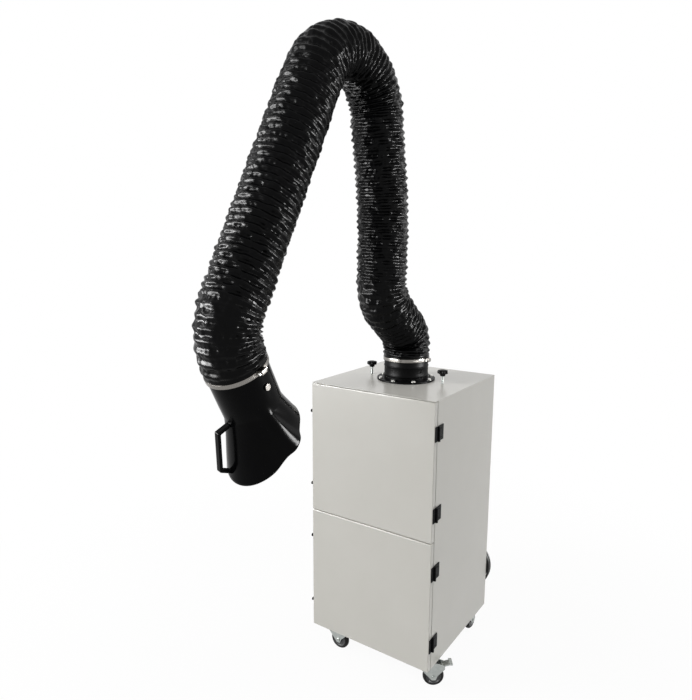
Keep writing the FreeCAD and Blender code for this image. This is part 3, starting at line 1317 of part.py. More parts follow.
# Hook that the coil hangs on: a plate on the rear panel, a peg under the coil's top and a raised tip
COIL_INNER = "(coil_radius - coil_pitch * coil_turns / 2 + coil_pitch / 4)"
PEG_Z = f"(coil_centre_z + {COIL_INNER} - cord_radius - seat_gap - hook_peg_radius)"
PEG_LENGTH = "(cord_stand_off + coil_pitch + cord_radius + 2 * seat_gap + 2 * hook_peg_radius)"
node("cord_hook", fuse("cord_hook", [
    box("hook_plate", ("hook_plate_width", "hook_plate_wall", "hook_plate_height"),
        ("coil_centre_x - hook_plate_width / 2", REAR, f"{PEG_Z} - hook_plate_height / 4")),
    rod("hook_peg", "hook_peg_radius", PEG_LENGTH, ("coil_centre_x", REAR, PEG_Z), "y"),
    rod("hook_tip", "hook_tip_radius", "hook_tip_height",
        ("coil_centre_x", f"{REAR} + {PEG_LENGTH} - hook_peg_radius", PEG_Z)),
]))

doc.recompute()

for piece in doc.Objects:
    if "Invalid" in piece.State or "Error" in piece.State:
        raise RuntimeError(f"{piece.Label} did not compute: {piece.State}")
for piece in NODES:
    if piece.Shape.isNull() or not piece.Shape.isValid():
        raise RuntimeError(f"{piece.Label} has no valid shape")
    if not piece.Shape.Solids:
        raise RuntimeError(f"{piece.Label} has no solid")

os.makedirs("parts", exist_ok=True)
for piece in NODES:
    piece.Shape.exportStep(f"parts/{piece.Label}.step")

for name, distance in (("shoulder", SHOULDER_AT), ("elbow", ELBOW_AT), ("wrist", WRIST_AT)):
    spot = in_space(on_route(distance)[0])
    print(f"{name} pivot at y {spot.y:.2f}, z {spot.z:.2f}")
print("nodes:", len(NODES), "hose length, mm:", round(ROUTE_LENGTH, 1))
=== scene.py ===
import json
import math

import bmesh
import bpy
import numpy as np
from mathutils import Matrix

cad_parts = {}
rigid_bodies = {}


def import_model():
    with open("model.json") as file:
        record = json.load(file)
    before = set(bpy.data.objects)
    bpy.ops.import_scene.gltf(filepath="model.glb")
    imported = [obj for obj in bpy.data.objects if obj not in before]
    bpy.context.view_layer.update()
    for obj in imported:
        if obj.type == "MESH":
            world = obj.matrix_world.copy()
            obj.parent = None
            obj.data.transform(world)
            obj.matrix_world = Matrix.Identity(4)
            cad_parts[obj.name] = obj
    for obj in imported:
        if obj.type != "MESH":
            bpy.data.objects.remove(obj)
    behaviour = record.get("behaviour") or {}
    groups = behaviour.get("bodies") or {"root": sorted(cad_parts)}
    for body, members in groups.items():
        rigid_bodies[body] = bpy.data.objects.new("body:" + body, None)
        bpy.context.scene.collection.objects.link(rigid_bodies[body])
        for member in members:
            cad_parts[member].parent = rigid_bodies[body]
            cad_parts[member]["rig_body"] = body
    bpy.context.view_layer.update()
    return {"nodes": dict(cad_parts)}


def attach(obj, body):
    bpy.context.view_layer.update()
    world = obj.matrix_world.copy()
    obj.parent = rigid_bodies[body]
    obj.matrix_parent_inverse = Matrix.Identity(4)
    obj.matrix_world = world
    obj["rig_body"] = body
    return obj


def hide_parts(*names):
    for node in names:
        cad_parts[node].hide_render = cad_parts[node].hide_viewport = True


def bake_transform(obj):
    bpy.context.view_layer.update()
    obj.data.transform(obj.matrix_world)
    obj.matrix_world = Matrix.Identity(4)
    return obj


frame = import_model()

nodes = frame["nodes"]

# Studio: a pale plain floor under a white surround, with a broad soft light from the front left,
# weaker ones from the right and behind, and three panels that show only as highlights.
# The floor fades to plain white away from the object, so no horizon shows, and is clear from below.
FLOOR_HALF = 14.0
FLOOR_COLOUR = "F4F4F2"
SURROUND_LEVEL = 0.42
SURROUND_SEEN = 1.0
FLOOR_NEAR_WHITE, FLOOR_NEAR, FLOOR_FAR = 0.95, 0.5, 2.2
# Each lamp's place, what it faces, its width and height in metres, and its watts.
LAMPS = {
    "key": ((-2.2, -2.8, 3.3), (0.0, -0.2, 0.9), (1.3, 1.1), 84.0),
    "fill": ((3.2, -1.6, 2.4), (0.1, 0.0, 0.8), (1.6, 1.6), 1.5),
    "left gloss": ((-2.1, -3.0, 1.3), (0.0, -0.6, 1.3), (2.8, 0.7), 420.0),
    "right gloss": ((3.0, -1.1, 1.8), (0.0, -0.5, 1.5), (0.8, 0.5), 6.0),
    "rear gloss": ((2.7, 0.9, 1.2), (0.1, -0.85, 1.05), (1.0, 0.7), 240.0),
    "back": ((1.5, 2.6, 2.8), (0.0, 0.0, 0.9), (2.0, 1.6), 26.0),
}


def linear(colour):
    """An sRGB hex colour as linear red, green, blue and full alpha."""
    parts = [int(colour[place:place + 2], 16) / 255 for place in (0, 2, 4)]
    return tuple(p / 12.92 if p <= 0.04045 else ((p + 0.055) / 1.055) ** 2.4 for p in parts) + (1.0,)


def add(tree, kind, settings=None, links=None):
    """Adds a node with its settings, by property or socket, and the outputs that feed its sockets."""
    made = tree.nodes.new(kind)
    for key, setting in (settings or {}).items():
        if isinstance(key, int) or key in made.inputs:
            made.inputs[key].default_value = setting
        else:
            setattr(made, key, setting)
    for key, source in (links or {}).items():
        tree.links.new(source, made.inputs[key])
    return made


def seen_rays(tree):
    """One where the camera, a mirror or clear stuff looks at the surface, nought where its light falls."""
    ray = add(tree, "ShaderNodeLightPath")
    seen = add(tree, "ShaderNodeMath", {"operation": "MAXIMUM"},
               {0: ray.outputs["Is Camera Ray"], 1: ray.outputs["Is Glossy Ray"]})
    seen = add(tree, "ShaderNodeMath", {"operation": "MAXIMUM"},
               {0: seen.outputs[0], 1: ray.outputs["Is Transmission Ray"]})
    return seen.outputs[0]


def aimed(place, back, roll=0.0):
    """The matrix of a lamp or camera at place that looks along minus back, upright but for a roll."""
    right = np.cross((0.0, 0.0, 1.0), back)
    right = right / np.linalg.norm(right)
    right = math.cos(roll) * right + math.sin(roll) * np.cross(back, right)
    axes = np.column_stack([right, np.cross(back, right), back])
    return Matrix.Translation(place) @ Matrix(axes.tolist()).to_4x4()


scene = bpy.context.scene
scene.view_settings.view_transform = "Standard"
world = bpy.data.worlds.new("white_surround")
world.use_nodes = True
scene.world = world
tree = world.node_tree
tree.nodes.clear()
lit = add(tree, "ShaderNodeBackground", {"Color": (1, 1, 1, 1), "Strength": SURROUND_LEVEL})
shown = add(tree, "ShaderNodeBackground", {"Color": (1, 1, 1, 1), "Strength": SURROUND_SEEN})
both = add(tree, "ShaderNodeMixShader", {}, {0: seen_rays(tree), 1: lit.outputs[0], 2: shown.outputs[0]})
add(tree, "ShaderNodeOutputWorld", {}, {"Surface": both.outputs[0]})

floor_mesh = bpy.data.meshes.new("floor")
corners = np.array([(-1, -1, 0), (1, -1, 0), (1, 1, 0), (-1, 1, 0)]) * FLOOR_HALF
floor_mesh.from_pydata(corners.tolist(), [], [(0, 1, 2, 3)])
floor = bpy.data.objects.new("floor", floor_mesh)
scene.collection.objects.link(floor)
floor_paint = bpy.data.materials.new("matt_white_floor")
floor_paint.use_nodes = True
tree = floor_paint.node_tree
tree.nodes.clear()
where = add(tree, "ShaderNodeTexCoord")
away = add(tree, "ShaderNodeVectorMath", {"operation": "LENGTH"}, {0: where.outputs["Object"]})
fade = add(tree, "ShaderNodeMapRange", {"interpolation_type": "SMOOTHSTEP", "From Min": FLOOR_NEAR,
                                        "From Max": FLOOR_FAR, "To Min": FLOOR_NEAR_WHITE, "To Max": 1.0},
           {"Value": away.outputs["Value"]})
share = add(tree, "ShaderNodeMath", {"operation": "MULTIPLY"}, {0: seen_rays(tree), 1: fade.outputs[0]})
matt = add(tree, "ShaderNodeBsdfDiffuse", {"Color": linear(FLOOR_COLOUR)})
white = add(tree, "ShaderNodeEmission", {"Color": (1, 1, 1, 1), "Strength": 1.0})
both = add(tree, "ShaderNodeMixShader", {}, {0: share.outputs[0], 1: matt.outputs[0], 2: white.outputs[0]})
facing = add(tree, "ShaderNodeNewGeometry")
clear = add(tree, "ShaderNodeBsdfTransparent")
one_way = add(tree, "ShaderNodeMixShader", {},
              {0: facing.outputs["Backfacing"], 1: both.outputs[0], 2: clear.outputs[0]})
add(tree, "ShaderNodeOutputMaterial", {}, {"Surface": one_way.outputs[0]})
floor_mesh.materials.append(floor_paint)

for name, (place, target, size, power) in LAMPS.items():
    lamp = bpy.data.lights.new(name, "AREA")
    lamp.shape = "RECTANGLE"
    lamp.size, lamp.size_y = size
    lamp.energy = power
    holder = bpy.data.objects.new(name, lamp)
    holder.visible_diffuse = "gloss" not in name
    back = np.array(place) - np.array(target)
    holder.matrix_world = aimed(place, back / np.linalg.norm(back))
    scene.collection.objects.link(holder)

# Camera: set where the cabinet's corners say that the photograph was taken, half a metre above the
# cabinet's top and to the right of its doors.
CAMERA_PLACE = (1.0691, -1.9378, 1.538)
CAMERA_TURN, CAMERA_DROP, CAMERA_ROLL = (math.radians(angle) for angle in (34.638, 9.7256, 0.18))
FOCAL_PIXELS, FRAME_HEIGHT, SENSOR = 609.4, 700, 36.0
back = np.array([math.sin(CAMERA_TURN) * math.cos(CAMERA_DROP),
                 -math.cos(CAMERA_TURN) * math.cos(CAMERA_DROP), math.sin(CAMERA_DROP)])
camera = bpy.data.cameras.new("camera")
camera.sensor_width = SENSOR
camera.lens = FOCAL_PIXELS * SENSOR / FRAME_HEIGHT
camera_holder = bpy.data.objects.new("camera", camera)
camera_holder.matrix_world = aimed(CAMERA_PLACE, back, CAMERA_ROLL)
scene.collection.objects.link(camera_holder)
scene.camera = camera_holder

# Cabinet: folded steel sheet, welded and sprayed with an ivory powder coat. Each panel keeps its
# sheet thickness, and its cut edges are broken and rounded by the coat.
COAT_COLOUR, COAT_SHADE = "D9D7D1", "D2D0C9"
COAT_PEEL_MM, COAT_CLOUD_MM = 3.0, 160.0
SHEET_EDGE = 0.0007
MERGE_WITHIN, FLAT_WITHIN, SHARP_DEGREES = 2e-6, math.radians(0.6), 32


def material(name):
    """A new material with one principled shader; gives the material, its node tree and the shader."""
    made = bpy.data.materials.new(name)
    made.use_nodes = True
    tree = made.node_tree
    tree.nodes.clear()
    shader = add(tree, "ShaderNodeBsdfPrincipled")
    add(tree, "ShaderNodeOutputMaterial", {}, {"Surface": shader.outputs[0]})
    return made, tree, shader


def cycles(millimetres):
    """The noise scale, in waves per metre, of a pattern that repeats after so many millimetres."""
    return 1000 / millimetres


def dress(node, finish):
    """Gives a CAD node a finish in place of its plain one."""
    piece = nodes[node]
    piece.data.materials.clear()
    piece.data.materials.append(finish)


# Powder coat: baked polyester with a fine orange peel, so it glosses softly and never mirrors sharply.
powder_coat, tree, shader = material("ivory_powder_coat")
where = add(tree, "ShaderNodeTexCoord")
cloud = add(tree, "ShaderNodeTexNoise", {"Scale": cycles(COAT_CLOUD_MM), "Detail": 3.0},
            {"Vector": where.outputs["Object"]})
tone = add(tree, "ShaderNodeMix", {"data_type": "RGBA", 6: linear(COAT_COLOUR), 7: linear(COAT_SHADE)},
           {0: cloud.outputs["Fac"]})
peel = add(tree, "ShaderNodeTexNoise", {"Scale": cycles(COAT_PEEL_MM), "Detail": 2.0},
           {"Vector": where.outputs["Object"]})
rough = add(tree, "ShaderNodeMapRange", {"To Min": 0.18, "To Max": 0.30}, {"Value": peel.outputs["Fac"]})
bump = add(tree, "ShaderNodeBump", {"Strength": 0.10, "Distance": 0.0004}, {"Height": peel.outputs["Fac"]})
tree.links.new(tone.outputs[2], shader.inputs["Base Color"])
tree.links.new(rough.outputs[0], shader.inputs["Roughness"])
tree.links.new(bump.outputs[0], shader.inputs["Normal"])


def eased(node, edge, finish):
    """A copy of a CAD node's mesh, merged and with flat faces joined; its sharp edges are rounded by edge."""
    mesh = nodes[node].data.copy()
    mesh.materials.clear()
    mesh.materials.append(finish)
    work = bmesh.new()
    work.from_mesh(mesh)
    bmesh.ops.remove_doubles(work, verts=work.verts, dist=MERGE_WITHIN)
    bmesh.ops.dissolve_limit(work, angle_limit=FLAT_WITHIN, verts=work.verts, edges=work.edges)
    for face in work.faces:
        face.smooth = True
    work.to_mesh(mesh)
    work.free()
    mesh.set_sharp_from_angle(angle=math.radians(SHARP_DEGREES))
    piece = bpy.data.objects.new(node + "_dressed", mesh)
    scene.collection.objects.link(piece)
    rounding = piece.modifiers.new("edges", "BEVEL")
    rounding.width = edge
    rounding.segments = 2
    rounding.limit_method = "ANGLE"
    rounding.angle_limit = math.radians(SHARP_DEGREES)
    rounding.harden_normals = True
    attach(piece, nodes[node]["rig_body"])
    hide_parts(node)
    return piece


for panel in ("left_side_panel", "right_side_panel", "top_panel", "rear_panel", "front_frame"):
    eased(panel, SHEET_EDGE, powder_coat)
for panel in ("base_pan", "filter_shelf"):
    dress(panel, powder_coat)

# Doors: two trays, each folded from one sheet, with flanges towards the frame and a small bend radius
# round the front. The upper closes the filter chamber and the lower the blower's. The top sheet laps
# forward over the upper door and leaves a dark gap above it.
DOOR_FRONT, DOOR_BACK, SHEET = -0.250, -0.2315, 0.002
DOOR_BEND, DOOR_CORNER, DOOR_LEAST_CORNER = 0.0026, 0.0030, 0.0006
DOOR_FLAT_INSET, DOOR_CUT_EDGE = 0.030, 0.0005
DOOR_SPANS = {"lower_door": (0.105, 0.5715), "upper_door": (0.5745, 1.0513)}
DOOR_HALF = 0.245
LID_LIP_TOP, LID_LIP_THICK, LID_LIP_BACK, LID_LIP_EDGE = 1.055, 0.0015, -0.2275, 0.0005


def rounded_rectangle(half_x, half_z, radius, steps=6):
    """Corner arcs joined into a loop, clockwise from the top as seen from the front; gives x and z."""
    turn = np.linspace(0, math.pi / 2, steps)
    turn = np.concatenate([turn + quarter * math.pi / 2 for quarter in range(4)])
    sides = np.repeat(np.array([(1, 1), (1, -1), (-1, -1), (-1, 1)]), steps, axis=0)
    x = sides[:, 0] * (half_x - radius) + radius * np.sin(turn)
    z = sides[:, 1] * (half_z - radius) + radius * np.cos(turn)
    return x, z


def grid_piece(name, grid, finish, body, node=None, wrap_rows=False, caps=(), span=None,
               smooth=SHARP_DEGREES):
    """A mesh from a grid of points, closed round its columns: each point joins the next in row and column.
    Rows in caps become flat faces. span, if given, is the real size of the grid for its UV map."""
    rows, columns = grid.shape[:2]
    row, column = np.meshgrid(np.arange(rows if wrap_rows else rows - 1), np.arange(columns), indexing="ij")
    corner_rows = np.stack([row, row, row + 1, row + 1], -1).reshape(-1, 4)
    corner_columns = np.stack([column, column + 1, column + 1, column], -1).reshape(-1, 4)
    quads = (corner_rows % rows) * columns + corner_columns % columns
    faces = quads.tolist() + [(np.arange(columns) + cap % rows * columns).tolist() for cap in caps]
    mesh = bpy.data.meshes.new(name)
    mesh.from_pydata(grid.reshape(-1, 3).tolist(), [], faces)
    if span is not None:
        unwrapped = mesh.uv_layers.new(name="cloth")
        flat = np.zeros((len(mesh.loops), 2), np.float32)
        flat[:quads.size, 0] = corner_columns.ravel() / columns * span[0]
        flat[:quads.size, 1] = corner_rows.ravel() / rows * span[1]
        unwrapped.data.foreach_set("uv", flat.ravel())
    work = bmesh.new()
    work.from_mesh(mesh)
    bmesh.ops.recalc_face_normals(work, faces=work.faces)
    for face in work.faces:
        face.smooth = True
    work.to_mesh(mesh)
    work.free()
    mesh.set_sharp_from_angle(angle=math.radians(smooth))
    mesh.materials.append(finish)
    piece = bpy.data.objects.new(name, mesh)
    scene.collection.objects.link(piece)
    if body:
        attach(piece, body)
    if node:
        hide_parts(node)
    return piece


def folded_tray(low, high):
    """Loops of a rounded rectangle along the sheet's section: front, bend, flange, and back inside."""
    bend = np.linspace(0, math.pi / 2, 5)
    outer = [(DOOR_BEND * (1 - math.sin(a)), DOOR_FRONT + DOOR_BEND * (1 - math.cos(a))) for a in bend]
    inner_bend = DOOR_BEND / 2
    inner = [(SHEET + inner_bend * (1 - math.cos(a)), DOOR_FRONT + SHEET + inner_bend * (1 - math.sin(a)))
             for a in bend]
    edge = DOOR_CUT_EDGE
    section = [(DOOR_FLAT_INSET, DOOR_FRONT), (DOOR_BEND + edge, DOOR_FRONT), *outer,
               (0.0, DOOR_FRONT + DOOR_BEND + edge), (0.0, DOOR_BACK - 2 * edge), (0.0, DOOR_BACK - edge),
               (edge, DOOR_BACK), (SHEET - edge, DOOR_BACK), (SHEET, DOOR_BACK - edge), *inner,
               (DOOR_FLAT_INSET, DOOR_FRONT + SHEET)]
    loops = []
    for inset, depth in section:
        corner = max(DOOR_CORNER - inset, DOOR_LEAST_CORNER)
        x, z = rounded_rectangle(DOOR_HALF - inset, (high - low) / 2 - inset, corner)
        loops.append(np.column_stack([x, np.full_like(x, depth), z + (low + high) / 2]))
    return np.array(loops)


for door, (low, high) in DOOR_SPANS.items():
    grid_piece(door + "_tray", folded_tray(low, high), powder_coat, door, door, caps=(0, -1))


def lid_lip():
    """A thin rounded section in depth and height, carried straight across the cabinet from side to side."""
    depth, height = rounded_rectangle((LID_LIP_BACK - DOOR_FRONT) / 2, LID_LIP_THICK / 2, LID_LIP_EDGE)
    ends = [np.column_stack([np.full_like(depth, x), depth + (LID_LIP_BACK + DOOR_FRONT) / 2,
                             height + LID_LIP_TOP - LID_LIP_THICK / 2]) for x in (-DOOR_HALF, DOOR_HALF)]
    return np.array(ends)


grid_piece("top_sheet_lip", lid_lip(), powder_coat, "cabinet", caps=(0, -1), smooth=60)

# Door seals: two rings of EPDM rubber strip, extruded, cut to length and stuck to the front frame,
# one behind each door.


def mottled(name, grain_mm, detail, colour, roughness, relief=None, metallic=0.0, specular=0.5, swirl=0.0):
    """A material on one noise. Its colour and roughness are each one value, or two that the noise runs
    between, and relief is the strength of its bumps and their depth in metres."""
    made, tree, shader = material(name)
    where = add(tree, "ShaderNodeTexCoord")
    grain = {"Scale": cycles(grain_mm), "Detail": detail, "Distortion": swirl}
    noise = add(tree, "ShaderNodeTexNoise", grain, {"Vector": where.outputs["Object"]}).outputs["Fac"]
    shader.inputs["Metallic"].default_value = metallic
    shader.inputs["Specular IOR Level"].default_value = specular
    if isinstance(colour, str):
        shader.inputs["Base Color"].default_value = linear(colour)
    else:
        tone = add(tree, "ShaderNodeMix", {"data_type": "RGBA", 6: linear(colour[0]), 7: linear(colour[1])},
                   {0: noise})
        tree.links.new(tone.outputs[2], shader.inputs["Base Color"])
    if isinstance(roughness, float):
        shader.inputs["Roughness"].default_value = roughness
    else:
        rough = add(tree, "ShaderNodeMapRange", {"To Min": roughness[0], "To Max": roughness[1]},
                    {"Value": noise})
        tree.links.new(rough.outputs[0], shader.inputs["Roughness"])
    if relief:
        bump = add(tree, "ShaderNodeBump", {"Strength": relief[0], "Distance": relief[1]}, {"Height": noise})
        tree.links.new(bump.outputs[0], shader.inputs["Normal"])
    return made


# Seal rubber: extruded and dusted with talc, so it shows a fine grain and no gloss.
seal_rubber = mottled("epdm_seal_rubber", 1.5, 3.0, ("1B1B1B", "262626"), 0.8, relief=(0.4, 0.0004))
dress("door_seals", seal_rubber)

# Hinges and latches: pressed steel with a black satin paint, each leaf held by two low-domed screws
# painted to match.
HINGE_HEIGHTS = (0.200, 0.4625, 0.6695, 0.946)
HINGE_FACE = 0.248
SCREW_RISE, SCREW_SPREAD, SCREW_RADIUS = 0.0011, 0.015, 0.0034
DOOR_LEAF_Y, FRAME_LEAF_Y = -0.2403, -0.2067
SCREW_SLIT_HALF, SCREW_SLIT_REACH, SCREW_SLIT_FLOOR = 0.13, 0.6, 0.35
FITTING_EDGE = 0.0006

# Black satin paint: sprayed thin over the pressing, with a soft sheen on its edges.
black_paint = mottled("black_satin_paint_on_steel", 2.2, 4.0, ("060607", "0B0B0C"), (0.30, 0.48),
                      relief=(0.15, 0.0003), specular=0.05)
# Zinc plate: a pressing with the dull bloom of electroplate.
zinc_plate = mottled("zinc_plated_pressing", 12.0, 5.0, ("8D9291", "B3B6B2"), (0.22, 0.42), metallic=1.0)
# Bright steel: nickel plated, with a clear gloss that is a little uneven.
bright_steel = mottled("bright_plated_steel", 4.0, 5.0, "C9C8C4", (0.16, 0.34), metallic=1.0)

for fitting in ("frame_hinge_leaves", "lower_door_fittings", "upper_door_fittings", "latch_bases",
                "lower_low_latch_hook", "lower_high_latch_hook",
                "upper_low_latch_hook", "upper_high_latch_hook"):
    eased(fitting, FITTING_EDGE, black_paint)


def full_turn(steps):
    """So many even angles once round, the first at nought."""
    return np.linspace(0, 2 * math.pi, steps, endpoint=False)


def screw_head(y, z):
    """A low dome about +X in rings, sunk along a cross: it falls where either cross coordinate is small."""
    radius = np.linspace(1.0, 0.04, 12)[:, None] * SCREW_RADIUS
    turn = full_turn(48)[None, :]
    across, along = radius * np.cos(turn), radius * np.sin(turn)
    dome = SCREW_RISE * np.sqrt(np.clip(1 - (radius / SCREW_RADIUS) ** 2, 0, 1)) ** 0.7 + 0 * turn
    slit = np.minimum(abs(across), abs(along)) < SCREW_RADIUS * SCREW_SLIT_HALF
    sunk = slit & (radius < SCREW_RADIUS * SCREW_SLIT_REACH)
    height = np.where(sunk, dome * SCREW_SLIT_FLOOR, dome)
    return np.stack([HINGE_FACE + height, y + across, z + along], -1)


for place, leaf_y, fixed_to in (("door", DOOR_LEAF_Y, None), ("frame", FRAME_LEAF_Y, "cabinet")):
    for number, height in enumerate(HINGE_HEIGHTS):
        body = fixed_to or ("lower_door" if number < 2 else "upper_door")
        for end, shift in (("low", -SCREW_SPREAD), ("high", SCREW_SPREAD)):
            grid_piece(f"hinge_{number}_{place}_{end}_screw", screw_head(leaf_y, height + shift), black_paint,
                       body, caps=(0, -1))

# Filter stack: a pleated cartridge in a plated frame on a rubber seal, a pre-filter mat on it and an
# alloy frame that presses them down.
SEAL_HIGH = 0.580
# Galvanised case: a spangled zinc skin, with the black rubber of its seal below.
filter_frame, tree, shader = material("galvanised_filter_case")
where = add(tree, "ShaderNodeTexCoord")
split = add(tree, "ShaderNodeSeparateXYZ", {}, {0: where.outputs["Object"]})
above = add(tree, "ShaderNodeMath", {"operation": "GREATER_THAN", 1: SEAL_HIGH}, {0: split.outputs["Z"]})
spangle = add(tree, "ShaderNodeTexVoronoi", {"Scale": cycles(14.0)}, {"Vector": where.outputs["Object"]})
zinc = add(tree, "ShaderNodeMix", {"data_type": "RGBA", 6: linear("B9BCBD"), 7: linear("D3D5D4")},
           {0: spangle.outputs["Distance"]})
tone = add(tree, "ShaderNodeMix", {"data_type": "RGBA", 6: linear("1E1E1E")},
           {0: above.outputs[0], 7: zinc.outputs[2]})
tree.links.new(tone.outputs[2], shader.inputs["Base Color"])
shader.inputs["Roughness"].default_value = 0.5
dress("filter_cartridge", filter_frame)

# Polyester mat: lofted white fibre that takes no gloss at all.
prefilter_mat = mottled("white_polyester_mat", 5.0, 8.0, ("C9CBC6", "EDEEE9"), 0.95, relief=(0.9, 0.003),
                        swirl=1.5)
dress("prefilter_panel", prefilter_mat)
# Cast aluminium: a sand-cast skin, grey and grainy.
cast_alloy = mottled("cast_aluminium", 2.5, 3.0, "B5B6B7", (0.38, 0.58), relief=(0.3, 0.0006), metallic=1.0)
for piece in ("filter_clamp_frame", "blower_motor"):
    dress(piece, cast_alloy)

# Clamp knobs: black nylon stars moulded on plated threaded studs that stand through the top. As they
# turn, they lift the clamp frame off the filter or press it down.
KNOB_X, KNOB_LOW, KNOB_TALL, KNOB_RADIUS, KNOB_LOBES = 0.148, 1.083, 0.022, 0.019, 7
LOBE_DEPTH, LOBE_POWER = 0.20, 0.6
STUD_LOW, STUD_INTO_KNOB, STUD_RADIUS, THREAD_PITCH, THREAD_DEPTH = 0.928, 0.001, 0.005, 0.003, 0.0011
# Black nylon: moulded with a fine spark texture, which holds a low even sheen.
knob_nylon = mottled("moulded_black_nylon", 1.0, 2.0, ("070708", "0E0E0F"), 0.38, relief=(0.25, 0.0003),
                     specular=0.05)


def star_knob(x):
    """A profile turned about the stud, whose radius swells in lobes where it is widest. Each point has a
    share of the radius, a share of the height and how far the lobes reach it."""
    section = np.array([(0.25, 0.0, 0.0), (0.48, 0.0, 0.0), (0.50, 0.10, 0.0), (0.54, 0.26, 0.1),
                        (0.62, 0.33, 0.4), (0.84, 0.36, 1.0), (0.95, 0.40, 1.0), (1.0, 0.50, 1.0),
                        (1.0, 0.74, 1.0), (0.95, 0.86, 1.0), (0.86, 0.92, 0.9), (0.70, 0.955, 0.6),
                        (0.52, 0.975, 0.2), (0.44, 0.975, 0.0), (0.40, 0.94, 0.0), (0.20, 0.94, 0.0)])
    turn = full_turn(112)[None, :]
    wave = 0.5 + 0.5 * np.cos(KNOB_LOBES * turn)
    waist = 1 - LOBE_DEPTH * section[:, 2:3] * (1 - wave ** LOBE_POWER)
    radius = KNOB_RADIUS * section[:, 0:1] * waist
    height = KNOB_LOW + KNOB_TALL * section[:, 1:2] + 0 * turn
    return np.stack([x + radius * np.cos(turn), radius * np.sin(turn), height], -1)


def threaded_stud(x):
    """A rod whose radius follows a triangle wave wound once round for each pitch that it climbs."""
    height = np.arange(STUD_LOW, KNOB_LOW + STUD_INTO_KNOB, THREAD_PITCH / 6)[:, None]
    turn = full_turn(24)[None, :]
    phase = (height / THREAD_PITCH - turn / (2 * math.pi)) % 1.0
    radius = STUD_RADIUS - THREAD_DEPTH * abs(2 * phase - 1)
    return np.stack([x + radius * np.cos(turn), radius * np.sin(turn), height + 0 * turn], -1)


for side, x in (("left", -KNOB_X), ("right", KNOB_X)):
    grid_piece(f"{side}_star_knob", star_knob(x), knob_nylon, f"{side}_knob",
               f"{side}_clamp_knob", caps=(0, -1), smooth=50)
    grid_piece(f"{side}_stud", threaded_stud(x), zinc_plate, f"{side}_knob", caps=(0, -1))

# Blower: a drum and duct of galvanised sheet, an impeller of the same, and a spigot on the rear panel
# that a 150 mm duct is pushed on to.
SPIGOT_EDGE = 0.0005
# Galvanised sheet: hot dipped, with bright and dull crystals side by side.
galvanised, tree, shader = material("galvanised_sheet")
where = add(tree, "ShaderNodeTexCoord")
spangle = add(tree, "ShaderNodeTexVoronoi", {"Scale": cycles(12.0)}, {"Vector": where.outputs["Object"]})
tone = add(tree, "ShaderNodeMix", {"data_type": "RGBA", 6: linear("A9ADAF"), 7: linear("C6C9CA")},
           {0: spangle.outputs["Color"]})
rough = add(tree, "ShaderNodeMapRange", {"To Min": 0.28, "To Max": 0.46},
            {"Value": spangle.outputs["Distance"]})
tree.links.new(tone.outputs[2], shader.inputs["Base Color"])
tree.links.new(rough.outputs[0], shader.inputs["Roughness"])
shader.inputs["Metallic"].default_value = 1.0
for piece in ("blower_housing", "impeller"):
    dress(piece, galvanised)
eased("exhaust_spigot", SPIGOT_EDGE, galvanised)

# Inlet: a black painted ring held to the top by eight plated bolts on washers, and the swivel tube
# that turns in it, with two rolled beads to stiffen it.
TOP, TUBE_HIGH, TUBE_RADIUS, TUBE_WALL = 1.055, 1.142, 0.080, 0.003
FOOT_RADIUS, FOOT_HIGH, RING_HIGH = 0.086, 1.058, 1.0613
TUBE_EDGE, BEAD_HEIGHTS, BEAD_RISE, BEAD_HALF = 0.0006, (1.075, 1.108), 0.0016, 0.004
BOLT_CIRCLE, BOLT_COUNT, HEX_ACROSS, HEX_TALL = 0.095, 8, 0.0105, 0.0042
HEAD_ROUND, HEAD_SHOULDER, HEAD_CHAMFER, HEAD_FLAT = 0.94, 0.8, 1.06, 0.9
WASHER_RADIUS, WASHER_TALL, WASHER_EDGE = 0.0078, 0.0012, 0.0003
RING_EDGE, FOOT_FILLET_OUT, FOOT_FILLET_UP = 0.0006, 0.0008, 0.001
eased("flange_ring", RING_EDGE, black_paint)


def turned(section, middle=(0.0, 0.0), steps=128):
    """A profile of radius and height turned about an upright axis."""
    section = np.array(section)
    turn = full_turn(steps)[None, :]
    radius, height = section[:, 0:1], section[:, 1:2] + 0 * turn
    return np.stack([middle[0] + radius * np.cos(turn), middle[1] + radius * np.sin(turn), height], -1)


def bead(height):
    """Profile points of one rolled bead: one cosine wave that stands out of the tube."""
    along = np.linspace(-1, 1, 9)
    return [(TUBE_RADIUS + BEAD_RISE * (0.5 + 0.5 * math.cos(math.pi * a)), height + BEAD_HALF * a)
            for a in along]


tube_section = [(FOOT_RADIUS, TOP), (FOOT_RADIUS, FOOT_HIGH), (TUBE_RADIUS + FOOT_FILLET_OUT, FOOT_HIGH),
                (TUBE_RADIUS, FOOT_HIGH + FOOT_FILLET_UP), *bead(BEAD_HEIGHTS[0]), *bead(BEAD_HEIGHTS[1]),
                (TUBE_RADIUS, TUBE_HIGH - TUBE_EDGE), (TUBE_RADIUS - TUBE_EDGE, TUBE_HIGH),
                (TUBE_RADIUS - TUBE_WALL, TUBE_HIGH), (TUBE_RADIUS - TUBE_WALL, TOP)]
grid_piece("swivel_tube_beaded", turned(tube_section), black_paint, "swivel", "swivel_tube",
           wrap_rows=True)


def six_sided(turn, half):
    """Radius of a hexagon at each turn: half its width across flats over the cosine from the nearest flat."""
    return half / np.cos((turn + math.pi / 6) % (math.pi / 3) - math.pi / 6)


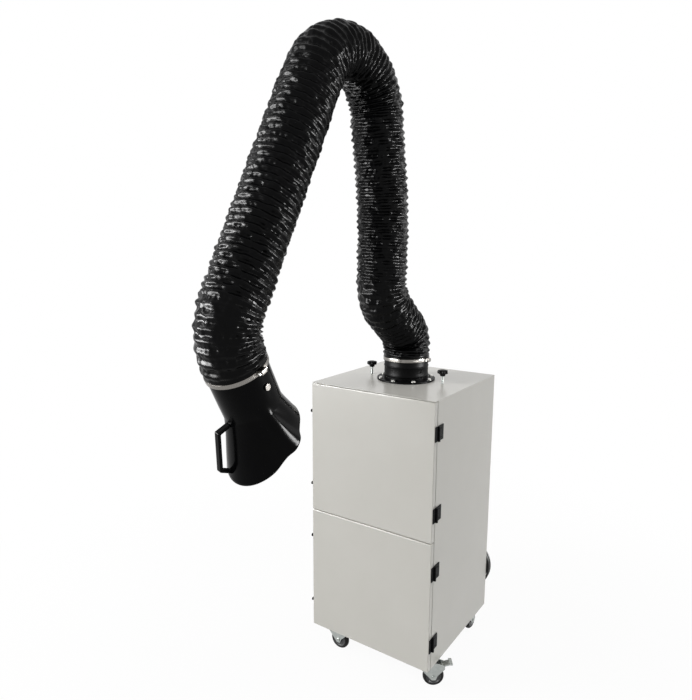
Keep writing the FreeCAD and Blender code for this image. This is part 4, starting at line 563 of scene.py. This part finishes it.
def hex_bolt():
    """A bolt at the origin: rings of a round washer, a six-sided head and its chamfered top."""
    turn = full_turn(36)
    facet = six_sided(turn, HEX_ACROSS / 2)
    round_head = np.full_like(turn, HEX_ACROSS / 2 * HEAD_ROUND)
    washer = np.full_like(turn, WASHER_RADIUS)
    head_top = WASHER_TALL + HEX_TALL
    rings = [(washer, 0.0), (washer, WASHER_TALL - WASHER_EDGE), (washer - WASHER_EDGE, WASHER_TALL),
             (facet, WASHER_TALL), (facet, WASHER_TALL + HEX_TALL * HEAD_SHOULDER),
             (np.minimum(facet, round_head * HEAD_CHAMFER), head_top), (round_head * HEAD_FLAT, head_top)]
    return np.array([np.column_stack([radius * np.cos(turn), radius * np.sin(turn),
                                      np.full_like(turn, height)]) for radius, height in rings])


one_bolt = hex_bolt()
for number in range(BOLT_COUNT):
    angle = 2 * math.pi * number / BOLT_COUNT
    middle = np.array([BOLT_CIRCLE * math.sin(angle), -BOLT_CIRCLE * math.cos(angle), RING_HIGH])
    grid_piece(f"flange_bolt_{number}", one_bolt + middle, bright_steel, "cabinet",
               "flange_bolts" if number == 0 else None, caps=(0, -1), smooth=24)

# Hose: black vinyl-coated polyester over a wire helix, to fit a 160 mm tube. The cloth stands up over
# each turn of wire, draws in between them and puckers, most on the inside of the bends.
HOSE_LOW = 1.126
HOSE_BENDS = ((0.0, 0.096, 0.095), (0.183, 0.133, 0.120), (-0.006, 0.295, 0.900), (0.127, 0.796, 0.174),
              (0.611, -1.119, 0.148))
HOOD_LEAN, HOOD_CUFF_REACH = math.radians(27), 0.106
RIB_PITCH, RIB_RISE, CLOTH_RADIUS, BORE = 0.020, 0.0062, 0.0788, 0.0770
CUFF_RADIUS, CUFF_LENGTH, CUFF_FADE = 0.0828, 0.018, 0.014
PUCKER_RISE, WRINKLE_RISE, BUCKLE_RISE = 0.0019, 0.0005, 0.0011
PUCKER_SUM, WRINKLE_SUM, BUCKLE_SUM, CREASE_SHARP = 3.2, 3.0, 2.4, 1.4
RIB_SQUEEZED, RIB_BUCKLED, RIB_CRUMPLED, SLACK_OFF_WIRE, SLACK_SQUEEZED = 0.55, 0.18, 0.12, 0.75, 0.6
SQUEEZE_LIMITS, SMOOTH_RINGS = (-0.7, 0.9), 81
ELBOW_FLATTEN, ELBOW_SPREAD = 0.085, 0.20
RINGS_PER_RIB, HOSE_SIDES = 9, 180


def hose_runs():
    """The route's straight runs and tangent arcs: start, heading, length and turn per metre of each."""
    points = [np.array([0.0, HOSE_LOW])]
    for forward, up, _ in HOSE_BENDS:
        points.append(points[-1] + (forward, up))
    points.append(points[-1] + HOOD_CUFF_REACH * np.array([-math.sin(HOOD_LEAN), -math.cos(HOOD_LEAN)]))
    start, runs = points[0], []
    for before, bend, after, (_, _, radius) in zip(points, points[1:], points[2:], HOSE_BENDS):
        heading = math.atan2(*(bend - before)[::-1])
        turn = (math.atan2(*(after - bend)[::-1]) - heading + math.pi) % (2 * math.pi) - math.pi
        tangent = radius * math.tan(abs(turn) / 2)
        length = np.linalg.norm(bend - start) - tangent
        ahead = np.array([math.cos(heading), math.sin(heading)])
        runs.append((start, heading, length, 0.0))
        runs.append((start + length * ahead, heading, radius * abs(turn), turn / abs(turn) / radius))
        start = bend + tangent * np.array([math.cos(heading + turn), math.sin(heading + turn)])
    heading = math.atan2(*(points[-1] - points[-2])[::-1])
    return runs + [(start, heading, np.linalg.norm(points[-1] - start), 0.0)]


HOSE_RUNS = hose_runs()
HOSE_LENGTH = sum(run[2] for run in HOSE_RUNS)
ARC_MIDDLES = [sum(run[2] for run in HOSE_RUNS[:2 * n + 1]) + HOSE_RUNS[2 * n + 1][2] / 2 for n in range(5)]


def hose_line(along):
    """Place, heading and curve of the hose's middle line at each distance along it."""
    spot, heading, curve = np.zeros((len(along), 2)), np.zeros(len(along)), np.zeros(len(along))
    begin = 0.0
    for number, (start, angle, length, bend) in enumerate(HOSE_RUNS):
        last = number == len(HOSE_RUNS) - 1
        here = (along >= begin) & ((along < begin + length) | last)
        part = along[here] - begin
        turned_by = angle + part * bend
        if bend:
            forward, up = np.sin(turned_by) - math.sin(angle), math.cos(angle) - np.cos(turned_by)
            steps = np.column_stack([forward, up]) / bend
        else:
            steps = np.column_stack([part * math.cos(angle), part * math.sin(angle)])
        spot[here], heading[here], curve[here] = start + steps, turned_by, bend
        begin += length
    return spot, heading, curve


# Waves of the puckers: a whole number round the hose, a number to each rib along it, and a fixed phase.
chance = np.random.default_rng(7)
PUCKERS = [(chance.integers(5, 17), chance.uniform(-0.8, 0.8), chance.uniform(0, 6.28)) for _ in range(14)]
WRINKLES = [(chance.integers(22, 44), chance.uniform(-1.2, 1.2), chance.uniform(0, 6.28)) for _ in range(12)]
BUCKLES = [(chance.integers(3, 9), chance.uniform(-0.5, 0.5), chance.uniform(0, 6.28)) for _ in range(7)]


def elbow_oval(along, turn):
    """The share of its radius that the hose keeps where the elbow flattens it, in a bell curve along it."""
    bent = np.exp(-((along - ARC_MIDDLES[3]) / ELBOW_SPREAD) ** 2)[:, None]
    return 1 - ELBOW_FLATTEN * bent * np.sin(turn)[None, :] ** 2


def waves(along, turn, terms):
    """The sum of cosine waves, each with a number round the hose, one to each rib along it and a phase."""
    ribs = along[:, None] / RIB_PITCH
    return sum(np.cos(n * turn[None, :] + 2 * math.pi * m * ribs + p) for n, m, p in terms)


def gentle(share):
    """A share from nought to one, slowed at both ends: three times its square less twice its cube."""
    return share * share * (3 - 2 * share)


def hose_skin(along, turn):
    """Radius of the cloth: a rounded ridge over each wire turn plus creased puckers; the ridges grow where a
    bend squeezes them and flatten where it stretches them, and fade into plain cuffs at the two ends."""
    _, _, curve = hose_line(along)
    window = np.ones(SMOOTH_RINGS) / SMOOTH_RINGS
    smooth = np.convolve(np.pad(curve, SMOOTH_RINGS // 2, mode="edge"), window, mode="valid")
    squeeze = np.clip(smooth[:, None] * CLOTH_RADIUS * np.sin(turn)[None, :], *SQUEEZE_LIMITS)
    phase = along[:, None] / RIB_PITCH + turn[None, :] / (2 * math.pi)
    wire = 0.5 + 0.5 * np.cos(2 * math.pi * phase)
    crumple = waves(along, turn, PUCKERS) / PUCKER_SUM
    buckle = waves(along, turn, BUCKLES) / BUCKLE_SUM
    wrinkle = waves(along, turn, WRINKLES) / WRINKLE_SUM
    creased = PUCKER_RISE * np.tanh(CREASE_SHARP * crumple) + WRINKLE_RISE * wrinkle + BUCKLE_RISE * buckle
    swollen = 1 + RIB_SQUEEZED * squeeze + RIB_BUCKLED * buckle + RIB_CRUMPLED * np.tanh(crumple)
    slack = (1 - SLACK_OFF_WIRE * wire) * (1 + SLACK_SQUEEZED * squeeze)
    cloth = CLOTH_RADIUS + RIB_RISE * swollen * wire + creased * slack
    ends = np.minimum(along, HOSE_LENGTH - along)
    fade = gentle(np.clip((ends - CUFF_LENGTH) / CUFF_FADE, 0, 1))[:, None]
    return (CUFF_RADIUS + (cloth - CUFF_RADIUS) * fade) * elbow_oval(along, turn)


def hose_grid(along, radius, turn):
    """Points of rings of the given radii square to the hose's middle line."""
    spot, heading, _ = hose_line(along)
    out = np.column_stack([-np.sin(heading), np.cos(heading)])
    x = radius * np.cos(turn)[None, :]
    side = radius * np.sin(turn)[None, :]
    forward = spot[:, 0:1] + side * out[:, 0:1]
    up = spot[:, 1:2] + side * out[:, 1:2]
    return np.stack([x, -forward, up], -1)


# Vinyl-coated cloth: a soft gloss broken by the weave under the film, which is drawn coarse enough to show.
WEAVE_MM = 1.6
hose_vinyl, tree, shader = material("vinyl_coated_polyester")
where = add(tree, "ShaderNodeTexCoord")
cloth_map = add(tree, "ShaderNodeUVMap", {"uv_map": "cloth"})
warp = add(tree, "ShaderNodeTexWave", {"Scale": cycles(WEAVE_MM) / (2 * math.pi), "bands_direction": "X"},
           {"Vector": cloth_map.outputs[0]})
weft = add(tree, "ShaderNodeTexWave", {"Scale": cycles(WEAVE_MM) / (2 * math.pi), "bands_direction": "Y"},
           {"Vector": cloth_map.outputs[0]})
weave = add(tree, "ShaderNodeMath", {"operation": "MULTIPLY"},
            {0: warp.outputs["Fac"], 1: weft.outputs["Fac"]})
creases = add(tree, "ShaderNodeTexNoise", {"Scale": cycles(14.0), "Detail": 3.0, "Roughness": 0.55},
              {"Vector": where.outputs["Object"]})
bump = add(tree, "ShaderNodeBump", {"Strength": 0.12, "Distance": 0.0030}, {"Height": creases.outputs["Fac"]})
bump = add(tree, "ShaderNodeBump", {"Strength": 0.12, "Distance": 0.0003},
           {"Height": weave.outputs[0], "Normal": bump.outputs[0]})
dust = add(tree, "ShaderNodeTexNoise", {"Scale": cycles(60.0), "Detail": 6.0},
           {"Vector": where.outputs["Object"]})
tone = add(tree, "ShaderNodeMix", {"data_type": "RGBA", 6: linear("040405"), 7: linear("09090A")},
           {0: dust.outputs["Fac"]})
rough = add(tree, "ShaderNodeMapRange", {"To Min": 0.18, "To Max": 0.30}, {"Value": creases.outputs["Fac"]})
tree.links.new(tone.outputs[2], shader.inputs["Base Color"])
tree.links.new(rough.outputs[0], shader.inputs["Roughness"])
tree.links.new(bump.outputs[0], shader.inputs["Normal"])
shader.inputs["Specular IOR Level"].default_value = 0.06

LOWER_SEAM, UPPER_SEAM = ARC_MIDDLES[2], (ARC_MIDDLES[3] + ARC_MIDDLES[4]) / 2
HOSE_STRETCHES = {
    "shoulder": (0.0, LOWER_SEAM, "swivel", "lower_arm", (0.0, -0.10, 1.20), (0.0, -0.19, 1.56)),
    "elbow": (LOWER_SEAM, UPPER_SEAM, "lower_arm", "upper_arm", (0.0, -0.24, 2.0), (0.0, -0.50, 2.0)),
    "wrist": (UPPER_SEAM, HOSE_LENGTH, "upper_arm", "hood", (0.0, -0.83, 1.50), (0.0, -0.88, 1.25)),
}
sides = full_turn(HOSE_SIDES)
for stretch, (start, end, before, after, bend_from, bend_to) in HOSE_STRETCHES.items():
    rings = round((end - start) / RIB_PITCH * RINGS_PER_RIB) + 1
    along = np.linspace(start, end, rings)
    outside = hose_grid(along, hose_skin(along, sides), sides)
    inner = np.linspace(end, start, rings // RINGS_PER_RIB)
    inside = hose_grid(inner, BORE * elbow_oval(inner, sides), sides)
    piece = grid_piece(f"hose_{stretch}_cloth", np.concatenate([outside, inside]), hose_vinyl, None,
                       wrap_rows=True, span=(2 * math.pi * CLOTH_RADIUS, 2 * (end - start)),
                       smooth=70)
    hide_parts(f"hose_{stretch}")
    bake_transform(piece)

# Hose clamps: stainless worm-drive bands round the hose's two cuffs, slotted near the screw, with the
# screw in a pressed housing on the right.
BAND_BORE, BAND_WALL, BAND_WIDTH, BAND_SET = 0.0831, 0.0012, 0.012, 0.002
SLOT_PITCH, SLOT_SHARE, SLOT_DEPTH, SLOT_HALF_TURN = 0.0045, 0.45, 0.0007, 1.1
HOUSING_OUT, HOUSING_LONG, HOUSING_WIDE, HOUSING_STAND = 0.0075, 0.0115, 0.0070, 0.55
WORM_OUT = BAND_BORE + BAND_WALL + HOUSING_OUT * HOUSING_STAND
WORM_RADIUS, WORM_HEX, WORM_COLLAR, WORM_CHAMFER, WORM_FLAT = 0.0034, 0.0036, 1.35, 0.95, 0.5
SHANK_END, COLLAR_START, COLLAR_END, HEX_END, HEX_TOP = -0.0150, 0.0118, 0.0128, 0.0160, 0.0168
# Stainless band: cold rolled and grey, with a gloss that changes from patch to patch.
stainless = mottled("stainless_band", 9.0, 6.0, "7E7B77", (0.14, 0.32), metallic=1.0)


def on_hose(along, x, side, ahead):
    """Points given across, beside and along the hose, at a distance along its middle line."""
    spot, heading, _ = hose_line(np.array([along]))
    spot, heading = spot[0], heading[0]
    forward = spot[0] - side * math.sin(heading) + ahead * math.cos(heading)
    up = spot[1] + side * math.cos(heading) + ahead * math.sin(heading)
    return np.stack([x, -forward, up], -1)


def band(along):
    """A flat ring with rounded edges, pressed in by shallow slots over a third of its way round. Each point
    of its section has a share of the width, a share of the wall and whether the slots reach it."""
    turn = full_turn(480)[None, :]
    section = np.array([(0.0, 0.0, 0), (0.03, 0.9, 0), (0.08, 1.0, 0), (0.27, 1.0, 0), (0.30, 0.999, 1),
                        (0.70, 0.999, 1), (0.73, 1.0, 0), (0.92, 1.0, 0), (0.97, 0.9, 0), (1.0, 0.0, 0)])
    near = abs((turn + math.pi) % (2 * math.pi) - math.pi) < SLOT_HALF_TURN
    slot = near & ((turn * (BAND_BORE + BAND_WALL) / SLOT_PITCH) % 1.0 < SLOT_SHARE)
    radius = BAND_BORE + BAND_WALL * section[:, 1:2] - section[:, 2:3] * slot * SLOT_DEPTH
    ahead = BAND_WIDTH * section[:, 0:1] + 0 * turn
    return on_hose(along, radius * np.cos(turn), radius * np.sin(turn), ahead)


def housing(along):
    """The worm's housing: a fifth-power superellipse round it, drawn in by a sixth-power one at its ends."""
    turn = full_turn(48)[None, :]
    tall = np.linspace(-1, 1, 15)[:, None]
    shrink = (1 - abs(tall) ** 6) ** (1 / 6)
    power = 2 / 5
    x = np.sign(np.cos(turn)) * abs(np.cos(turn)) ** power * HOUSING_OUT * shrink
    ahead = np.sign(np.sin(turn)) * abs(np.sin(turn)) ** power * HOUSING_WIDE * shrink
    return on_hose(along + BAND_WIDTH / 2, WORM_OUT + x, HOUSING_LONG * tall + 0 * turn, ahead)


def worm_screw(along):
    """The worm's shank, collar and six-sided head as a stack of rings, lying along the band."""
    turn = full_turn(36)
    facet = six_sided(turn, WORM_HEX)
    shank = np.full_like(turn, WORM_RADIUS)
    collar = shank * WORM_COLLAR
    rings = [(shank, SHANK_END), (shank, COLLAR_START), (collar, COLLAR_START), (collar, COLLAR_END),
             (facet, COLLAR_END), (facet, HEX_END), (shank * WORM_CHAMFER, HEX_TOP),
             (shank * WORM_FLAT, HEX_TOP)]
    radius = np.array([ring for ring, _ in rings])
    side = np.array([place for _, place in rings])[:, None] + 0 * turn[None, :]
    return on_hose(along + BAND_WIDTH / 2, WORM_OUT + radius * np.cos(turn), side, radius * np.sin(turn))


for place, along, body in (("base", BAND_SET, "swivel"),
                           ("hood", HOSE_LENGTH - BAND_SET - BAND_WIDTH, "hood")):
    grid_piece(f"{place}_clamp_band", band(along), stainless, body, f"{place}_hose_clamp",
               wrap_rows=True, smooth=40)
    grid_piece(f"{place}_clamp_housing", housing(along), stainless, body, caps=(0, -1),
               smooth=50)
    grid_piece(f"{place}_clamp_screw", worm_screw(along), bright_steel, body, caps=(0, -1))

# Arm: painted steel tubes that run inside the hose and carry it, pinned at the shoulder and the elbow
# and bolted at the hood.
WRIST_BOLT_EDGE = 0.0008
for piece in ("shoulder_post", "lower_arm", "upper_arm"):
    dress(piece, black_paint)
eased("wrist_bolt", WRIST_BOLT_EDGE, stainless)

# Hood: blow-moulded black polypropylene, a round neck that flares to an oblique oval mouth with a
# rolled rim and a stiffening ridge down each side.
NECK_INSERT, NECK_LENGTH, MOUTH_REACH, HOOD_WALL = 0.014, 0.126, 0.112, 0.003
MOUTH_TILT, MOUTH_LONG, MOUTH_WIDE, RIM_RADIUS, MOUTH_FORWARD = math.radians(45), 0.130, 0.104, 0.0022, 0.016
RIDGE_RISE, RIDGE_HALF_TURN, RIDGE_TURN, RIDGE_DRIFT, RIDGE_LEAD = 0.0095, 0.23, 0.38, 0.50, 0.36
FLUTE_TURN, FLUTE_HALF_TURN, FRONT_FLUTE, REAR_FLUTE, RIDGE_GROW = 0.42, 0.22, 0.55, 0.35, 0.8
LEAVE_ALONG_NECK, LEAVE_TO_MOUTH, ARRIVE_AT_MOUTH = 0.25, 0.55, 1.05
# Black polypropylene: blown against a polished mould, so it is glossy with a slow wave in its reflections.
hood_plastic = mottled("gloss_black_polypropylene", 45.0, 3.0, ("040405", "080809"), (0.13, 0.24),
                       relief=(0.12, 0.002), specular=0.04)

hood_axis = np.array([0.0, math.sin(HOOD_LEAN), -math.cos(HOOD_LEAN)])
hood_front = np.array([0.0, -math.cos(HOOD_LEAN), -math.sin(HOOD_LEAN)])
mouth_front = np.array([0.0, -math.cos(MOUTH_TILT), -math.sin(MOUTH_TILT)])
end_spot, _, _ = hose_line(np.array([HOSE_LENGTH]))
hose_end = np.array([0.0, -end_spot[0, 0], end_spot[0, 1]])
neck_top = hose_end - NECK_INSERT * hood_axis
waist = neck_top + NECK_LENGTH * hood_axis
mouth = waist + MOUTH_REACH * hood_axis + MOUTH_FORWARD * mouth_front
HOOD_SIDES = 160
turn = full_turn(HOOD_SIDES)
ACROSS = np.array([1.0, 0.0, 0.0])


def oval(middle, front, wide, long):
    """An ellipse round middle with half-widths across the hood and towards its front."""
    return middle + np.cos(turn)[:, None] * wide * ACROSS + np.sin(turn)[:, None] * long * front


def ridge(t):
    """How far the wall stands out sideways, at a share t of the way from the waist to the mouth: a
    flat-topped wave round each side that starts in the neck and drifts to the rear, between two flutes."""
    lean = np.arctan2(np.sin(turn), np.abs(np.cos(turn)))[None, :, None] - RIDGE_TURN + RIDGE_DRIFT * t
    wave = (np.exp(-(lean / RIDGE_HALF_TURN) ** 4)
            - FRONT_FLUTE * np.exp(-((lean - FLUTE_TURN) / FLUTE_HALF_TURN) ** 2)
            - REAR_FLUTE * np.exp(-((lean + FLUTE_TURN) / FLUTE_HALF_TURN) ** 2))
    rise = gentle(np.clip((t + RIDGE_LEAD) / RIDGE_GROW, 0, 1)) * RIDGE_RISE
    return np.sign(np.cos(turn))[None, :, None] * wave * rise * ACROSS


def flare(inset):
    """Rings from the waist to the mouth: each point leaves the neck along its axis and bends over to the
    straight line to the mouth."""
    low = oval(waist, hood_front, TUBE_RADIUS - inset, TUBE_RADIUS - inset)
    high = oval(mouth, mouth_front, MOUTH_WIDE - inset, MOUTH_LONG - inset)
    t = np.linspace(0, 1, 28)[:, None, None]
    reach = np.linalg.norm(high - low, axis=1)[:, None]
    leave = hood_axis * reach * LEAVE_ALONG_NECK + (high - low) * LEAVE_TO_MOUTH
    arrive = (high - low) * ARRIVE_AT_MOUTH
    rings = ((2 * t ** 3 - 3 * t ** 2 + 1) * low + (t ** 3 - 2 * t ** 2 + t) * leave
             + (3 * t ** 2 - 2 * t ** 3) * high + (t ** 3 - t ** 2) * arrive)
    return rings + ridge(t)


neck_share = np.linspace(0, 1, 25)[:-1, None, None]
neck_steps = neck_share * NECK_LENGTH * hood_axis + ridge((neck_share - 1) * NECK_LENGTH / MOUTH_REACH)
neck_out = oval(neck_top, hood_front, TUBE_RADIUS, TUBE_RADIUS)[None] + neck_steps
neck_in = oval(neck_top, hood_front, TUBE_RADIUS - HOOD_WALL, TUBE_RADIUS - HOOD_WALL)[None] + neck_steps
outer, inner = flare(0.0), flare(HOOD_WALL)
rim_middle = (outer[-1] + inner[-1]) / 2
rim_out = outer[-1] - rim_middle
rim_out = rim_out / np.linalg.norm(rim_out, axis=1)[:, None]
rim_ahead = np.cross(ACROSS, mouth_front)
rim_ahead = rim_ahead * np.sign(rim_ahead @ hood_axis)
rim_turn = np.linspace(math.pi / 2, -math.pi / 2, 9)[:, None, None]
rim = rim_middle + RIM_RADIUS * (np.sin(rim_turn) * rim_out + np.cos(rim_turn) * rim_ahead)
hood_grid = np.concatenate([neck_out, outer[:-1], rim, inner[:-1][::-1], neck_in[::-1]])
grid_piece("hood_moulding", hood_grid, hood_plastic, "hood", "hood_shell", wrap_rows=True,
           smooth=60)

# Grab handle: a moulded polypropylene bracket on the front of the flare, with a flat bar between two
# slanted legs that end on the hood's wall.
HANDLE_EDGE = 0.0022
eased("hood_handle", HANDLE_EDGE, hood_plastic)

# Castors: zinc-plated pressed forks on plates under the base, with black rubber tyres on grey nylon
# hubs; the front pair have brake pedals.
PLATE_EDGE, FORK_EDGE, PEDAL_EDGE = 0.0005, 0.0006, 0.0012
eased("caster_plates", PLATE_EDGE, bright_steel)
# Tyre rubber: scuffed by the floor to a dull black.
tyre_rubber = mottled("black_tyre_rubber", 6.0, 6.0, ("080808", "141414"), 0.5, relief=(0.3, 0.0005),
                      specular=0.15)
# Grey nylon: moulded, with an even half gloss.
hub_nylon = mottled("grey_nylon_hub", 1.4, 2.0, ("2B2C2E", "363739"), 0.45)

CASTORS = {"front_left": (-0.197, -0.185, 0), "front_right": (0.197, -0.185, 35),
           "rear_left": (-0.197, 0.185, -20), "rear_right": (0.197, 0.185, 90)}
TRAIL, WHEEL_RADIUS, WHEEL_HALF, HUB_HALF, HUB_RADIUS, RIM_EDGE = 0.034, 0.0375, 0.011, 0.013, 0.013, 0.0275
BORE_RADIUS, TREAD_DROP, TREAD_POWER, RIM_STEP, TYRE_SINK = 0.00405, 0.0065, 2.6, 0.0012, 0.002
HUB_EDGE, HUB_FOOT_HALF, HUB_RIM_HALF, HUB_RIM_GAP = 0.001, 0.0082, 0.0102, 0.0004
WEB_EDGE, RIM_SHOULDER = (0.0225, 0.0076), (0.0245, 0.0098)


def wheel_ring(section, middle, heading):
    """A profile of radius and place along the axle, turned about the axle, which lies across the heading."""
    section = np.array(section)
    turn = full_turn(96)[None, :]
    ahead = np.array([math.cos(heading), math.sin(heading), 0])
    axle = np.array([-math.sin(heading), math.cos(heading), 0])
    radius, across = section[:, 0][:, None, None], section[:, 1][:, None, None]
    spokes = np.cos(turn)[:, :, None] * ahead + np.sin(turn)[:, :, None] * np.array([0, 0, 1.0])
    return np.array(middle) + radius * spokes + across * axle


crown = np.linspace(-1, 1, 15)
tread = [(WHEEL_RADIUS - TREAD_DROP * abs(c) ** TREAD_POWER, WHEEL_HALF * c) for c in crown]
tyre_section = [(RIM_EDGE, -WHEEL_HALF), (RIM_EDGE + RIM_STEP, -WHEEL_HALF), *tread,
                (RIM_EDGE + RIM_STEP, WHEEL_HALF), (RIM_EDGE, WHEEL_HALF), (RIM_EDGE - TYRE_SINK, 0.0)]
hub_side = [(BORE_RADIUS, HUB_HALF), (HUB_RADIUS - HUB_EDGE, HUB_HALF), (HUB_RADIUS, HUB_HALF - HUB_EDGE),
            (HUB_RADIUS, HUB_FOOT_HALF), WEB_EDGE, RIM_SHOULDER, (RIM_EDGE - HUB_RIM_GAP, HUB_RIM_HALF)]
hub_section = [(radius, -across) for radius, across in hub_side] + hub_side[::-1]
for corner, (x, y, heading) in CASTORS.items():
    heading = math.radians(heading)
    middle = (x + TRAIL * math.cos(heading), y + TRAIL * math.sin(heading), WHEEL_RADIUS)
    grid_piece(f"{corner}_tyre", wheel_ring(tyre_section, middle, heading), tyre_rubber, f"{corner}_wheel",
               f"{corner}_wheel", wrap_rows=True)
    grid_piece(f"{corner}_hub", wheel_ring(hub_section, middle, heading), hub_nylon, f"{corner}_wheel",
               wrap_rows=True)
    eased(f"{corner}_fork", FORK_EDGE, zinc_plate)
for corner in ("front_left", "front_right"):
    eased(f"{corner}_brake_pedal", PEDAL_EDGE, zinc_plate)

# Switch: a grey nylon box moulded in one and fixed to the rear panel, with a red rocker, and a black
# gland under it for the cord.
SWITCH_EDGE, GLAND_EDGE, ROCKER_EDGE = 0.0015, 0.0006, 0.0015
eased("switch_box", SWITCH_EDGE, hub_nylon)
eased("cable_gland", GLAND_EDGE, knob_nylon)
# Red polycarbonate: glossy and a little uneven, as a lit rocker is.
rocker_plastic = mottled("red_polycarbonate_rocker", 3.0, 2.0, ("A3160F", "B51C14"), 0.25)
eased("power_rocker", ROCKER_EDGE, rocker_plastic)

# Power cord: three metres of black rubber lead that leaves the gland straight down, is wound in a flat
# coil over its hook and ends in a moulded plug that hangs at the coil's side.
CORD_X, CORD_Y, CORD_RADIUS, GLAND_TIP, PLUG_TOP = 0.0485, 0.266, 0.0045, 0.372, 0.171
COIL_X, COIL_Z, COIL_RADIUS, COIL_PITCH, COIL_TURNS, POINTS_PER_TURN = 0.152, 0.258, 0.1035, 0.010, 5, 16
PLUG_EDGE, HOOK_EDGE = 0.0008, 0.0008
# Rubber lead: a matt black sheath with a faint bloom.
cord_rubber = mottled("black_rubber_lead", 2.0, 3.0, ("0F0F10", "1A1A1B"), 0.42)

# The coil winds in for half its turns, steps over to a second layer and winds out again. A curve of
# order 3 runs inside its points, so they are set out by the swell.
wound = np.arange(1, COIL_TURNS * POINTS_PER_TURN) / POINTS_PER_TURN
swell = 1 / (0.75 + 0.25 * math.cos(2 * math.pi / POINTS_PER_TURN))
radius = (COIL_RADIUS - COIL_PITCH * np.minimum(wound, COIL_TURNS - wound)) * swell
layer = gentle(np.clip((wound - COIL_TURNS / 2) * 2 + 0.5, 0, 1)) * COIL_PITCH
angle = math.pi + 2 * math.pi * wound
coil = np.column_stack([COIL_X + radius * np.cos(angle), CORD_Y + layer, COIL_Z + radius * np.sin(angle)])
cord_points = np.vstack([
    [(CORD_X, CORD_Y, GLAND_TIP), (CORD_X, CORD_Y, 0.33), (CORD_X, CORD_Y, 0.285)], coil,
    [(CORD_X, CORD_Y + COIL_PITCH, 0.231), (CORD_X, CORD_Y + COIL_PITCH, 0.20),
     (CORD_X, CORD_Y + COIL_PITCH, PLUG_TOP - 0.002)]])
lead = bpy.data.curves.new("power_lead", "CURVE")
lead.dimensions = "3D"
line = lead.splines.new("NURBS")
line.points.add(len(cord_points) - 1)
line.points.foreach_set("co", np.column_stack([cord_points, np.ones(len(cord_points))]).ravel())
line.order_u = 3
line.use_endpoint_u = True
line.resolution_u = 6
lead.bevel_depth = CORD_RADIUS
lead.bevel_resolution = 5
lead.materials.append(cord_rubber)
power_lead = bpy.data.objects.new("power_lead", lead)
scene.collection.objects.link(power_lead)
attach(power_lead, "cabinet")
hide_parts("cord_upper_tail", "cord_coil", "cord_lower_tail")
plug = eased("power_plug", PLUG_EDGE, cord_rubber)
eased("cord_hook", HOOK_EDGE, zinc_plate)
